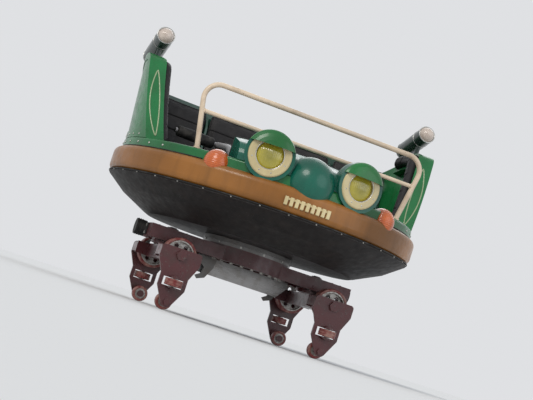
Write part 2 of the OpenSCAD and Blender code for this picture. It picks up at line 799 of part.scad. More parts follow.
// Moulded bench for four: riser, seat pan and backrest, with a rib between the seats of a pair
module seat_bench() {
    rib_w = cushion_gap - 2 * rest_clear;
    color([0.05, 0.16, 0.10]) for (side = [-1, 1]) intersection() {
        cabin_space();
        translate([side > 0 ? 0 : -rim_r, -rim_r, 0]) cube([rim_r, 2 * rim_r, wing_z]);
        pair(side) rotate([90, 0, 90]) {
            linear_extrude(2 * rim_r, center = true) polygon(bench_line());
            linear_extrude(rib_w, center = true) polygon(rib_line());
        }
    }
}

// Closing panel behind the backrest, a little below the shell's top
module rear_deck() {
    deck_t = 26;
    drop = 40;
    r = cabin_r - rest_clear + (back_h - drop) * tan(wing_flare);
    color([0.08, 0.34, 0.17]) translate([0, 0, back_z - drop]) intersection() {
        cylinder(r1 = r, r2 = r + deck_t * tan(wing_flare), h = deck_t, $fn = 128);
        for (side = [-1, 1]) intersection() {
            translate([side > 0 ? 0 : -rim_r, 0, 0]) cube([rim_r, rim_r, deck_t]);
            pair(side) translate([-rim_r, seat_back + back_lean + 2.4 * bench_t + rest_clear, 0])
                cube([2 * rim_r, rim_r, deck_t]);
        }
    }
}

// Two seat cushions of a pair
module seat_cushions(side) {
    w = seat_pitch - cushion_gap;
    color([0.05, 0.05, 0.06]) pair(side) for (s = [-1, 1])
        translate([s * seat_pitch / 2 - w / 2, 0, 0]) rotate([90, 0, 90]) linear_extrude(w)
            translate([seat_front + 12, seat_z + rest_clear]) rotate(-atan2(pan_fall, seat_back - seat_front))
                round_rect(seat_depth, cushion_t, 30);
}

// Two back cushions of a pair
module back_cushions(side) {
    w = seat_pitch - cushion_gap;
    low = cushion_t + 40;
    color([0.05, 0.05, 0.06]) pair(side) for (s = [-1, 1])
        translate([s * seat_pitch / 2 - w / 2, seat_back, seat_z - pan_fall])
            rotate([-recline, 0, 0]) rotate([90, 0, 90]) linear_extrude(w)
                translate([-back_cushion_t - rest_clear, low])
                    round_rect(back_cushion_t, backrest_h - low, 30);
}

// Section of the bonnet about the spin axis
module bonnet_section() {
    low = bonnet_z - 70;
    depth = bonnet_l + rim_round;
    polygon(concat(
        [[shell_r - depth, shell_z], [shell_r, shell_z]],
        arc(shell_r - bonnet_round, low - bonnet_round, bonnet_round, 0, 80, 10),
        [[shell_r - bonnet_round - 110, low + 34], [bonnet_y + 20, bonnet_z - 6],
         [bonnet_y - 60, bonnet_z], [shell_r - depth, bonnet_z]]
    ));
}

// Block in front of the bonnet's rear wall, as wide as the bonnet
module bonnet_block(h) {
    translate([-bonnet_x, -rim_r, shell_z]) cube([2 * bonnet_x, rim_r - bonnet_y, h]);
}

// Puts children() in a headlamp's own frame: Z out of its face, Y up
module at_lamp(side) {
    translate([side * lamp_x, lamp_back - rim_r, lamp_z]) rotate([90, 0, side * lamp_splay]) children();
}

// The rim band, the sill and all inside them, grown by a hair
module tub_core() {
    rotate_extrude($fn = 128) {
        rim_section(0.2);
        sill_section(0.2);
        translate([0, rim_z]) square([rim_r - rim_t + 1, rim_h]);
        translate([0, sill_z - 1]) square([cabin_r + 1, sill_h + 1.2]);
    }
}

// Rounded bonnet in front of the seats; its nose and its two lamp housings reach down
// over the sill to the rim band
module bonnet() {
    color([0.06, 0.38, 0.28]) difference() {
        union() {
            intersection() {
                rotate_extrude($fn = 128) bonnet_section();
                bonnet_block(bonnet_h + 1);
            }
            difference() {
                union() {
                    translate([0, nose_r - nose_out - rim_r, nose_z]) sphere(nose_r);
                    for (side = [-1, 1]) at_lamp(side) rotate_extrude() polygon(concat(
                        [[0, 0], [housing_r, 0]],
                        [for (i = [0 : 8]) let (a = 90 * i / 8)
                            [housing_r * cos(a), -50 - lamp_depth * sin(a)]]));
                }
                tub_core();
            }
        }
        for (side = [-1, 1]) at_lamp(side) translate([0, 0, -20]) cylinder(d = bezel_d + 1, h = 200);
    }
}

// Pale ring of each headlamp
module headlamp_bezels() {
    color([0.86, 0.78, 0.58]) for (side = [-1, 1]) at_lamp(side) rotate_extrude() {
        translate([lens_d / 2, -20]) square([(bezel_d - lens_d) / 2, 14]);
        translate([lens_d / 2, -20]) round_rect((bezel_d - lens_d) / 2, 30, 13);
    }
}

// Domed yellow lens of each headlamp
module headlamp_lenses() {
    dome = lens_d * 0.62;
    color([0.75, 0.68, 0.10]) for (side = [-1, 1]) at_lamp(side) translate([0, 0, -20]) {
        cylinder(d = lens_d - 1, h = 6);
        intersection() {
            translate([0, 0, 36 - dome]) sphere(dome);
            cylinder(d = lens_d - 1, h = 80);
        }
    }
}

// Section of a lid about a headlamp's axis: a flattened quarter round, drawn in by e
function lid_arc(e) = let (flat = 34) [for (i = [0 : 7]) let (a = 90 * i / 7)
    [flat + (housing_r - flat - e) * cos(a), (hood_bulge - e) * sin(a)]];

// Lid over the upper part of each headlamp, seated on its housing
module headlamp_hoods() {
    color([0.14, 0.45, 0.22]) for (side = [-1, 1]) at_lamp(side) difference() {
        rotate_extrude(angle = 180) polygon(concat(lid_arc(0), [for (i = [7 : -1 : 0]) lid_arc(hood_t)[i]]));
        translate([-housing_r - 1, -1, -1]) cube([2 * housing_r + 2, hood_edge + 1, hood_bulge + 2]);
    }
}

// Pale upright bars under the nose, on the rim band's flat face, joined by a thin strip
module grille() {
    w = grille_bar_w / rim_r * 90 / PI;
    color([0.86, 0.78, 0.58]) translate([0, 0, rim_z + rim_round]) {
        for (i = [0 : grille_bars - 1]) let (a = grille_a * (2 * i / (grille_bars - 1) - 1))
            left_sector(a - w, a + w)
                translate([rim_r + 0.2, 0]) round_rect(grille_t, grille_h, grille_t / 2 - 1);
        left_sector(-grille_a, grille_a)
            translate([rim_r + 3, grille_h - 20]) square([grille_t / 3, grille_t]);
    }
}

// Orange marker lamp at each front corner of the tub, seated on the rim and the sill
module marker_lamps() {
    color([0.80, 0.28, 0.08]) difference() {
        for (s = [-1, 1]) rotate([0, 0, s * marker_a])
            translate([0, -marker_y, sill_z + marker_h]) sphere(marker_r);
        tub_core();
    }
}

// Puts children() in a wing lamp's own frame: Z along the lamp to its face
module at_wing_lamp() {
    translate([wing_lamp_x, wing_lamp_y, wing_z + wing_lamp_gap + wing_lamp_d / 2])
        rotate([90 - wing_lamp_tilt, 0, 0]) children();
}

// Bullet lamp on two stems on top of each wing
module wing_lamps() {
    color([0.04, 0.10, 0.07]) for (m = [0, 1]) mirror([m, 0, 0]) {
        at_wing_lamp() difference() {
            union() {
                translate([0, 0, (wing_lamp_d - wing_lamp_l) / 2])
                    cylinder(d = wing_lamp_d, h = wing_lamp_l - wing_lamp_d / 2);
                translate([0, 0, (wing_lamp_d - wing_lamp_l) / 2]) sphere(d = wing_lamp_d);
            }
            translate([0, 0, wing_lamp_l / 2 - 14]) cylinder(d = wing_lamp_d - 14, h = 20);
        }
        // Stems are trimmed to the wing's top
        difference() {
            for (s = [-1, 1]) translate([wing_lamp_x, wing_lamp_y + s * stem_reach, back_z])
                cylinder(d = stem_d, h = wing_z - back_z + wing_lamp_gap + wing_lamp_d / 2
                    - s * stem_reach * tan(wing_lamp_tilt));
            translate([0, 0, rest_clear]) wing_block(0, 0);
        }
    }
}

// Pale domed lens in the face of each wing lamp
module wing_lamp_lenses() {
    face_d = wing_lamp_d - 14 - 2 * rest_clear;
    dome = face_d * 0.52;
    color([0.85, 0.80, 0.76]) for (m = [0, 1]) mirror([m, 0, 0]) at_wing_lamp()
        translate([0, 0, wing_lamp_l / 2 - 14]) intersection() {
            cylinder(d = face_d, h = 60);
            translate([0, 0, 56 - dome]) sphere(dome);
        }
}

// Bent tube in front of the seats, with a lower rail
module guard_rail() {
    mid_x = guard_foot + guard_mid_h * tan(guard_splay);
    color([0.88, 0.78, 0.60]) translate([0, -guard_y, shell_z]) {
        difference() {
            bent_tube([[-guard_foot, 0], [-guard_top, guard_h], [guard_top, guard_h],
                       [guard_foot, 0]], tube_d, guard_bend);
            translate([-guard_top, -tube_d, -tube_d]) cube([2 * guard_top, 2 * tube_d, tube_d]);
        }
        translate([0, 0, guard_mid_h]) x_bar(tube_d * 0.8, 2 * mid_x);
        for (s = [-1, 1]) translate([s * guard_foot, 0, 0]) cylinder(d = tube_d + 14, h = 8);
    }
}

// Clevis on the floor for each lap bar
module lap_bar_bases() {
    color([0.3, 0.3, 0.31]) for (side = [-1, 1]) pair(side) translate([0, -pivot_y, floor_z])
        difference() {
            union() {
                translate([-70, -60, 0]) cube([140, 120, 10]);
                for (s = [-1, 1]) translate([s * 46 - 7, 0, 0]) {
                    translate([0, -34, 0]) cube([14, 68, pivot_h]);
                    translate([0, 0, pivot_h]) rotate([0, 90, 0]) cylinder(r = 34, h = 14);
                }
            }
            translate([0, 0, pivot_h]) x_bar(pivot_d + 2 * run_clear, 200);
        }
}

// Post, crossbar and pivot of one lap bar
module lap_bar(side) {
    color([0.55, 0.55, 0.57]) pair(side) translate([0, -pivot_y, pivot_z]) {
        rotate([0, 0, 90])
            bent_tube([[0, 0], [-18, bar_h - 30], [bar_reach, bar_h]], post_d, post_bend);
        translate([0, bar_reach, bar_h]) x_bar(bar_d, bar_l);
        x_bar(post_d + 12, 76);
        x_bar(pivot_d, 130);
    }
}

// Foam pads on one lap bar's crossbar
module lap_bar_pads(side) {
    pad_l = bar_l / 2 - post_d / 2 - 24;
    color([0.05, 0.05, 0.05]) pair(side) translate([0, bar_reach - pivot_y, pivot_z + bar_h])
        for (s = [-1, 1]) translate([s * (post_d / 2 + 10 + pad_l / 2), 0, 0]) difference() {
            x_bar(pad_d, pad_l);
            x_bar(bar_d + 0.2, pad_l + 2);
        }
}

chassis_frame();
slew_ring_lower();
buffers();
brake_fin();
track_dogs();
axle_beam(1);  // axle_beam_lead
axle_beam(-1);  // axle_beam_trail
wheel_carrier(1, -1);  // wheel_carrier_lead_near
wheel_carrier(1, 1);  // wheel_carrier_lead_far
wheel_carrier(-1, -1);  // wheel_carrier_trail_near
wheel_carrier(-1, 1);  // wheel_carrier_trail_far
road_wheel(1, -1);  // road_wheel_lead_near
road_wheel(1, 1);  // road_wheel_lead_far
road_wheel(-1, -1);  // road_wheel_trail_near
road_wheel(-1, 1);  // road_wheel_trail_far
side_wheel(1, -1);  // side_wheel_lead_near
side_wheel(1, 1);  // side_wheel_lead_far
side_wheel(-1, -1);  // side_wheel_trail_near
side_wheel(-1, 1);  // side_wheel_trail_far
upstop_wheel(1, -1);  // upstop_wheel_lead_near
upstop_wheel(1, 1);  // upstop_wheel_lead_far
upstop_wheel(-1, -1);  // upstop_wheel_trail_near
upstop_wheel(-1, 1);  // upstop_wheel_trail_far
slew_ring_upper();
underpan();
floor_plate();
rim_band();
body_sill();
bulkhead();
wing_left();
wing_right();
back_shell();
rear_deck();
seat_bench();
side_pad_left();
side_pad_right();
seat_cushions(1);  // seat_cushions_left
seat_cushions(-1);  // seat_cushions_right
back_cushions(1);  // back_cushions_left
back_cushions(-1);  // back_cushions_right
bonnet();
headlamp_bezels();
headlamp_lenses();
headlamp_hoods();
grille();
marker_lamps();
wing_lamps();
wing_lamp_lenses();
guard_rail();
lap_bar_bases();
lap_bar(1);  // lap_bar_left
lap_bar(-1);  // lap_bar_right
lap_bar_pads(1);  // lap_bar_pads_left
lap_bar_pads(-1);  // lap_bar_pads_right
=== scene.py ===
"""Four-seat spinning roller coaster car: finishes and fine parts over its CAD frame."""
import json
import math

import bmesh
import bpy
import numpy as np
from mathutils import Matrix, Vector


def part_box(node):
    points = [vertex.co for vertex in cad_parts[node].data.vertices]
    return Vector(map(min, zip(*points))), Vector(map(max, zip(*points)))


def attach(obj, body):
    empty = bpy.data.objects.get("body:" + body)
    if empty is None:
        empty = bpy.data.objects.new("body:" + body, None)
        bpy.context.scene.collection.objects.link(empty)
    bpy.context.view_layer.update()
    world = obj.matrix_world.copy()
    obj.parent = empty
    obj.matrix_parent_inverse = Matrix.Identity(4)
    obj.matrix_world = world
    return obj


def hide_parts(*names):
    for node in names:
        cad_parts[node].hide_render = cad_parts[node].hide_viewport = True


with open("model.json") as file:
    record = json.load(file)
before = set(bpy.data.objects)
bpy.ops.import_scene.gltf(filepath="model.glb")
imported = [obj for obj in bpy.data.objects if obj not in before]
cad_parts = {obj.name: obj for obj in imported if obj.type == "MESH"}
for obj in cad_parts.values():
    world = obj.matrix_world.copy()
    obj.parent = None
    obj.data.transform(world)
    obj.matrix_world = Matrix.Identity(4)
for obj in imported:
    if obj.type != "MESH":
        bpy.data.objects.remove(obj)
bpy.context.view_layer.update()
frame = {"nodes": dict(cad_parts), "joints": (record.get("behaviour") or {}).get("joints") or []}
node = frame["nodes"]
scene = bpy.context.scene

# Camera
# Stands on the floor in front of the car and a little to its right, looks slightly up,
# and is rolled, so that the car leans in the picture.
view_az, view_el, view_roll = math.radians(-14.5), math.radians(-5.7), math.radians(18.0)
view_distance = 9.0
view_target = Vector((0.02, 0.0, 0.955))
away = Vector((math.sin(view_az) * math.cos(view_el), -math.cos(view_az) * math.cos(view_el),
               math.sin(view_el)))
level_right = (-away).cross(Vector((0, 0, 1))).normalized()
level_up = level_right.cross(-away)
cam_right = level_right * math.cos(view_roll) + level_up * math.sin(view_roll)
cam_up = level_up * math.cos(view_roll) - level_right * math.sin(view_roll)
camera = bpy.data.objects.new("camera", bpy.data.cameras.new("camera"))
scene.collection.objects.link(camera)
camera.matrix_world = Matrix.Translation(view_target + away * view_distance) @ Matrix(
    (cam_right, cam_up, away)).transposed().to_4x4()
camera.data.lens = 86
scene.camera = camera

# Chassis frame
# Box-section members and a thick ring plate, cut from steel plate and welded, then painted
# a dark red-brown gloss. Weld beads run along the joints and hex bolts hold the slewing ring.


def finish(name):
    """A new material with its Principled shader and its Object coordinates."""
    mat = bpy.data.materials.new(name)
    mat.use_nodes = True
    shader = mat.node_tree.nodes["Principled BSDF"]
    return mat, shader, new_node(shader, "TexCoord").outputs["Object"]


def set_sockets(item, values):
    """Gives each of a shader node's inputs a level of its own or another node's output."""
    for name, value in values.items():
        if isinstance(value, bpy.types.NodeSocket):
            item.id_data.links.new(value, item.inputs[name])
        else:
            item.inputs[name].default_value = value


def new_node(beside, kind, values={}, **settings):
    """A shader node of a kind in the tree of another, with its settings and its inputs."""
    item = beside.id_data.nodes.new("ShaderNode" + kind)
    for name, setting in settings.items():
        setattr(item, name, setting)
    set_sockets(item, values)
    return item


def grainy(coords, scale, detail=3.0, stretch=(1, 1, 1), rough=0.55):
    """Noise of so many grains to the metre, squeezed along the axes by stretch."""
    place = new_node(coords, "Mapping", {"Vector": coords, "Scale": stretch}).outputs["Vector"]
    return new_node(coords, "TexNoise", {"Vector": place, "Scale": scale, "Detail": detail,
                                         "Roughness": rough}).outputs["Fac"]


def spread(value, low, high, to_low=0.0, to_high=1.0):
    """Maps value from low..high to to_low..to_high, held at both ends."""
    return new_node(value, "MapRange", {"Value": value, "From Min": low, "From Max": high, "To Min": to_low,
                                        "To Max": to_high}, clamp=True).outputs["Result"]


def toned(colour, by, plus=0.0):
    """A colour times one number plus another, at most white."""
    return [min(1.0, c * by + plus) for c in colour]


def blend_in(amount, first, second):
    """Colour first turning into second by amount; each is a colour or a node's output."""
    first, second = (colour if isinstance(colour, bpy.types.NodeSocket) else (*colour, 1.0)
                     for colour in (first, second))
    return new_node(amount, "Mix", {"Factor": amount, 6: first, 7: second}, data_type="RGBA").outputs[2]


def reckon(operation, first, second):
    """A Math node's value from two others."""
    return new_node(first, "Math", {0: first, 1: second}, operation=operation).outputs["Value"]


def measure(operation, first, second):
    """A Vector Math node's value from two vectors."""
    return new_node(first, "VectorMath", {0: first, 1: second}, operation=operation).outputs["Value"]


def uneven(noise, low, high):
    """A level from low to high over the middle of a noise."""
    return spread(noise, 0.3, 0.7, low, high)


def relief(shader, height, depth, under=(0, 0, 0)):
    """Bumps the shader's surface by height, depth metres deep, on top of an earlier bump."""
    bump = new_node(shader, "Bump", {"Height": height, "Distance": depth, "Strength": 1.0, "Normal": under})
    set_sockets(shader, {"Normal": bump.outputs["Normal"]})
    return bump.outputs["Normal"]


def rubbed_edges(coords, most, reach=0.004):
    """How far an edge is rubbed: near it the normal averaged over reach turns away from the
    true one, by a cosine between flat and sharp, and noise breaks up the line."""
    rounded = new_node(coords, "Bevel", {"Radius": reach}, samples=4).outputs["Normal"]
    true = new_node(coords, "NewGeometry").outputs["True Normal"]
    sharp, flat = 0.86, 0.985
    edge = spread(measure("DOT_PRODUCT", rounded, true), sharp, flat, most, 0.0)
    return reckon("MULTIPLY", edge, spread(grainy(coords, 38.0, 4.0), 0.42, 0.58))


def weathered_paint(name, colour, worn, gloss=0.3, wear=0.62, grime=(0.07, 0.05, 0.04)):
    """Gloss paint on steel: slow fading, greasy patches, rubbed edges, and small chips down
    to worn where a noise is over wear."""
    mat, shader, coords = finish(name)
    fade = spread(grainy(coords, 2.5), 0.35, 0.65)
    base = blend_in(fade, toned(colour, 0.82), toned(colour, 1.12))
    grease = spread(grainy(coords, 7.0, 5.0), 0.52, 0.72, 0.0, 0.7)
    base = blend_in(grease, base, grime)
    chips = spread(grainy(coords, 46.0, 4.0, rough=0.7), wear, wear + 0.02)
    base = blend_in(chips, base, worn)
    base = blend_in(rubbed_edges(coords, 0.9), base, toned(worn, 1.8))
    relief(shader, chips, 0.0004, relief(shader, grainy(coords, 140.0, 2.0), 0.0004))
    set_sockets(shader, {"Base Color": base, "Coat Weight": 0.25, "Coat Roughness": 0.18,
                         "Roughness": uneven(grainy(coords, 18.0), gloss - 0.06, gloss + 0.22)})
    return mat


def dress(mat, *names):
    """Gives CAD nodes their material."""
    for name in names:
        node[name].data.materials.clear()
        node[name].data.materials.append(mat)


def smooth(mesh, on):
    """Smooth or flat shading on all of a mesh's faces."""
    mesh.polygons.foreach_set("use_smooth", [on] * len(mesh.polygons))


def solid(name, points, faces):
    """A mesh object from points and faces, with its faces turned outwards."""
    mesh = bpy.data.meshes.new(name)
    mesh.from_pydata(np.reshape(points, (-1, 3)).tolist(), [], faces)
    work = bmesh.new()
    work.from_mesh(mesh)
    bmesh.ops.recalc_face_normals(work, faces=work.faces)
    work.to_mesh(mesh)
    work.free()
    smooth(mesh, True)
    piece = bpy.data.objects.new(name, mesh)
    scene.collection.objects.link(piece)
    return piece


def ring_faces(rows, cols, closed=False):
    """Quads between the neighbouring points of rows that are rings, the last row joined to
    the first where closed."""
    index = np.arange(rows * cols).reshape(rows, cols)
    a = index if closed else index[:-1]
    b = np.roll(index, -1, 0) if closed else index[1:]
    return np.stack([a, np.roll(a, -1, 1), np.roll(b, -1, 1), b], -1).reshape(-1, 4)


def fan(first, count, tip):
    """Triangles from a ring of points, numbered on from the first, to a tip."""
    ring = first + np.arange(count)
    return np.stack([ring, np.roll(ring, -1), np.full(count, tip)], -1)


def skin(name, grid, closed=False, tips=(None, None)):
    """A mesh through a grid of points whose rows are rings, with a fan from the first and the
    last row to a tip point where one is given."""
    grid = np.asarray(grid, float)
    rows, cols = grid.shape[:2]
    faces = ring_faces(rows, cols, closed).tolist()
    points = grid.reshape(-1, 3).tolist()
    for tip, first in zip(tips, (0, (rows - 1) * cols)):
        if tip is not None:
            faces += fan(first, cols, len(points)).tolist()
            points.append(list(tip))
    return solid(name, points, faces)


def fit(piece, body, mat):
    """Fixes a new piece to a body, with its finish."""
    piece.data.materials.append(mat)
    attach(piece, body)
    return piece


def around(count):
    """Angles of so many even steps round a full turn, in radians."""
    return np.linspace(0, 2 * np.pi, count, endpoint=False)


def circle(centre, radius, axis, turns):
    """Points on a circle round a centre, square to an axis from 0 for X to 2 for Z, at angles
    in radians."""
    flat = np.stack([radius * np.cos(turns), radius * np.sin(turns), 0 * turns], -1)
    return np.roll(flat, axis + 1, -1) + centre


def frames_along(path, closed=False):
    """Two unit vectors square to a path at each of its points, turning as little as they can."""
    if closed:
        tangent = np.roll(path, -1, 0) - np.roll(path, 1, 0)
    else:
        tangent = np.gradient(path, axis=0)
    tangent /= np.linalg.norm(tangent, axis=1)[:, None]
    first = np.empty_like(path)
    seed = np.array([0.0, 0.0, 1.0]) if abs(tangent[0, 2]) < 0.9 else np.array([1.0, 0.0, 0.0])
    side = seed - tangent[0] * (seed @ tangent[0])
    for i, along in enumerate(tangent):
        side = side - along * (side @ along)
        side /= np.linalg.norm(side)
        first[i] = side
    return first, np.cross(tangent, first)


def tube(name, path, radius, sides=8, closed=False):
    """A round bead, cord or pipe: circles of a radius, one value or one for each point, carried
    along a path that is closed into a ring or has closed ends."""
    path = np.asarray(path, float)
    u, v = frames_along(path, closed)
    angle = around(sides)[:, None]
    radius = np.broadcast_to(radius, len(path))[:, None, None]
    grid = path[:, None] + radius * (np.cos(angle) * u[:, None] + np.sin(angle) * v[:, None])
    return skin(name, grid, closed, (None, None) if closed else (path[0], path[-1]))


def points_of(mesh):
    """A mesh's points as an array."""
    place = np.empty(len(mesh.vertices) * 3)
    mesh.vertices.foreach_get("co", place)
    return place.reshape(-1, 3)


def joined(name, pieces):
    """One piece made of several: their points one after another, and their faces with the
    point numbers moved on by the count of points before them."""
    points, faces, start = [], [], 0
    for piece in pieces:
        data = piece.data
        corner = np.empty(len(data.loops), int)
        data.loops.foreach_get("vertex_index", corner)
        size = np.empty(len(data.polygons), int)
        data.polygons.foreach_get("loop_total", size)
        points.append(points_of(data))
        faces += [part.tolist() for part in np.split(corner + start, np.cumsum(size)[:-1])]
        start += len(data.vertices)
        bpy.data.objects.remove(piece)
    return solid(name, np.concatenate(points), faces)


def loops(name, paths, radius, sides=8):
    """One piece made of round beads along closed paths."""
    return joined(name, [tube(name, path, radius, sides, closed=True) for path in paths])


def copies(count, step, *parts):
    """The faces of a small shape, given in parts, for each of its copies, numbered on by a step."""
    shift = step * np.arange(count)[:, None, None]
    return [face for part in parts for face in (part + shift).reshape(-1, part.shape[1]).tolist()]


def heads(name, places, normals, radius, height, sides=6, dome=False):
    """Bolt heads or rivets: rings of points up a washer and hexagon or up a dome, closed by a
    tip at each end, and copied to each place with their axis along the normal there."""
    if dome:
        rings = [(1.0, -0.1), (1.0, 0.15), (0.86, 0.58), (0.5, 0.9)]
    else:
        rings = [(1.35, -0.1), (1.35, 0.12), (1.0, 0.12), (1.0, 0.9), (0.88, 1.0)]
    stack = [circle((0, 0, up), out, 2, around(sides)) for out, up in rings]
    pattern = np.concatenate([*stack, [(0, 0, -0.1), (0, 0, 1)]]) * [radius, radius, height]
    places = np.asarray(places, float)
    w = np.broadcast_to(np.asarray(normals, float), places.shape)
    w = w / np.linalg.norm(w, axis=1)[:, None]
    helper = np.where(np.abs(w[:, 2:]) < 0.9, [[0.0, 0.0, 1.0]], [[1.0, 0.0, 0.0]])
    u = np.cross(helper, w)
    u /= np.linalg.norm(u, axis=1)[:, None]
    points = places[:, None] + pattern @ np.stack([u, np.cross(w, u), w], 1)
    foot = len(rings) * sides
    piece = solid(name, points, copies(len(places), len(pattern), ring_faces(len(rings), sides),
                                       fan(0, sides, foot), fan(foot - sides, sides, foot + 1)))
    if not dome:
        smooth(piece.data, False)
    return piece


def on_circle(radius, z, degrees):
    """Points on a circle about the spin axis, at angles from straight ahead towards +X."""
    a = np.radians(np.asarray(degrees, float))
    return np.stack([radius * np.sin(a), -radius * np.cos(a), np.broadcast_to(z, a.shape)], -1)


def ripple_bead(name, path, radius, pitch=0.004):
    """A weld bead: a straight tube with a point at every pitch and a radius that ripples."""
    start, end = np.asarray(path, float)
    length = np.linalg.norm(end - start)
    t = np.linspace(0, 1, max(8, int(length / pitch)))
    ripple = 1 + 0.16 * np.sin(t * length / pitch * np.pi)
    return tube(name, start + (end - start) * t[:, None], radius * ripple, 6)


frame_end, frame_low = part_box("chassis_frame")[1].x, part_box("brake_fin")[1].z
frame_top, frame_inner = frame_low + 0.090, 0.180
cross_faces = (0.680, 0.620, 0.480)
oxide_red = weathered_paint("chassis_paint", (0.062, 0.007, 0.009), (0.075, 0.045, 0.04),
                            grime=(0.036, 0.020, 0.015))
dress(oxide_red, "chassis_frame")
beads = []
for sx in (-1, 1):
    for sy in (-1, 1):
        for x in cross_faces:
            for z in (frame_low - 0.002, frame_top + 0.002):
                seam = [(sx * x, sy * (frame_inner - gap), z) for gap in (0.002, 0.09)]
                beads.append(ripple_bead("bead", seam, 0.004))
            upright = [(sx * x, sy * frame_inner, z) for z in (frame_low, frame_top)]
            beads.append(ripple_bead("bead", upright, 0.0045))
fit(joined("chassis_weld_beads", beads), "chassis", oxide_red)


def bare_steel(name, colour, rough, grain=(1, 1, 1), oil=0.0):
    """Machined or ground steel: fine drawn grain, faint stains and an oil film."""
    mat, shader, coords = finish(name)
    drawn = grainy(coords, 120.0, 4.0, grain)
    tone = blend_in(spread(drawn, 0.35, 0.65), toned(colour, 0.86), toned(colour, 1.12))
    stain = spread(grainy(coords, 9.0, 5.0), 0.5, 0.75, 0.0, 0.65)
    tone = blend_in(stain, tone, (0.10, 0.075, 0.055))
    relief(shader, drawn, 0.0001)
    set_sockets(shader, {"Base Color": tone, "Roughness": uneven(drawn, rough - 0.08, rough + 0.12),
                         "Metallic": 0.9, "Coat Weight": oil})
    return mat


zinc = bare_steel("bolt_zinc", (0.46, 0.45, 0.42), 0.36)
bolt_circle_r = 0.285
ring_bolts = on_circle(bolt_circle_r, frame_low, [a for a in range(0, 360, 15) if not 60 < a % 180 < 120])
fit(heads("slew_ring_bolts", ring_bolts, (0, 0, -1), 0.013, 0.011), "chassis", zinc)

# Slewing ring
# Two turned steel races with balls between them; the tub is bolted to the upper one.
# They are greased, so they shine and hold dust.
race_steel = bare_steel("race_steel", (0.15, 0.145, 0.14), 0.34, grain=(1, 1, 14), oil=0.3)
dress(race_steel, "slew_ring_lower", "slew_ring_upper")
race_low, race_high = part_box("slew_ring_lower")
race_plugs = on_circle(race_high.x + 0.0003, (race_low.z + race_high.z) / 2, np.arange(7.5, 360, 30))
fit(heads("race_grease_plugs", race_plugs, race_plugs * [1, 1, 0], 0.006, 0.006),
    "chassis", zinc)

# Buffers, brake fin and dogs
# Moulded rubber buffers on painted plates, a ground steel fin for the ride's brakes,
# and two forged dogs, one for the lift chain and one against running back.


def moulded_rubber(name, colour, rough=0.62):
    """Black rubber or foam skin: fine pores, grey dust in patches and little shine."""
    mat, shader, coords = finish(name)
    dust = spread(grainy(coords, 14.0, 5.0), 0.48, 0.75, 0.0, 0.35)
    relief(shader, grainy(coords, 420.0, 2.0), 0.0004)
    set_sockets(shader, {"Base Color": blend_in(dust, colour, (0.16, 0.145, 0.13)),
                         "Roughness": uneven(grainy(coords, 40.0), rough - 0.1, rough + 0.14),
                         "Specular IOR Level": 0.2})
    return mat


buffer_rubber = moulded_rubber("buffer_rubber", (0.018, 0.018, 0.018))
dress(buffer_rubber, "buffers")
buffer_r, buffer_z = 0.055, (frame_low + frame_top) / 2
plate_face, bolt_y, bolt_z = frame_end + 0.010, 0.09, 0.027
rib_lines = [circle((s * (frame_end + out), 0, buffer_z), buffer_r, 0, around(40))
             for s in (-1, 1) for out in (0.030, 0.045, 0.060)]
fit(loops("buffer_ribs", rib_lines, 0.003), "chassis", buffer_rubber)
buffer_bolts = np.array([(s * plate_face, y, buffer_z + z)
                         for s in (-1, 1) for y in (-bolt_y, bolt_y) for z in (-bolt_z, bolt_z)])
fit(heads("buffer_bolts", buffer_bolts, buffer_bolts * [1, 0, 0], 0.009, 0.007),
    "chassis", zinc)
dress(bare_steel("fin_steel", (0.28, 0.275, 0.27), 0.32, grain=(0.06, 2, 2)), "brake_fin")
dress(bare_steel("dog_steel", (0.13, 0.125, 0.12), 0.46, oil=0.2), "track_dogs")

# Bogies
# A box beam on a king pin joins two welded wheel carriers. Each carrier holds a road wheel
# on the rail, a side wheel beside it and an up-stop wheel under it.
for end in ("lead", "trail"):
    dress(oxide_red, f"axle_beam_{end}", f"wheel_carrier_{end}_near", f"wheel_carrier_{end}_far")


def wheel_finish(name, centre, axis, tyre_inner, edge=0.0006):
    """Polyurethane tyre outside a radius about the wheel's axle, cast hub inside it: the
    radius is the distance of the Object coordinates from the centre, square to the axle."""
    mat, shader, coords = finish(name)
    flat = [0.0 if i == axis else 1.0 for i in range(3)]
    across = new_node(coords, "Mapping", {"Vector": coords, "Scale": flat}).outputs["Vector"]
    axle = [c * f for c, f in zip(centre, flat)]
    rubber = spread(measure("DISTANCE", across, axle), tyre_inner - edge, tyre_inner + edge)
    scuff = grainy(coords, 26.0, 5.0)
    tyre_red, scuffed = (0.16, 0.020, 0.018), (0.30, 0.16, 0.13)
    tyre = blend_in(spread(scuff, 0.42, 0.66), tyre_red, scuffed)
    dirt = spread(grainy(coords, 60.0, 4.0), 0.4, 0.68)
    cast_grey, dirty_grey = (0.40, 0.39, 0.37), (0.17, 0.14, 0.12)
    hub = blend_in(dirt, cast_grey, dirty_grey)
    relief(shader, grainy(coords, 240.0, 2.0), 0.0003)
    set_sockets(shader, {"Base Color": blend_in(rubber, hub, tyre), "Roughness": uneven(scuff, 0.34, 0.55),
                         "Metallic": spread(rubber, 0.0, 1.0, 0.75, 0.0)})
    return mat


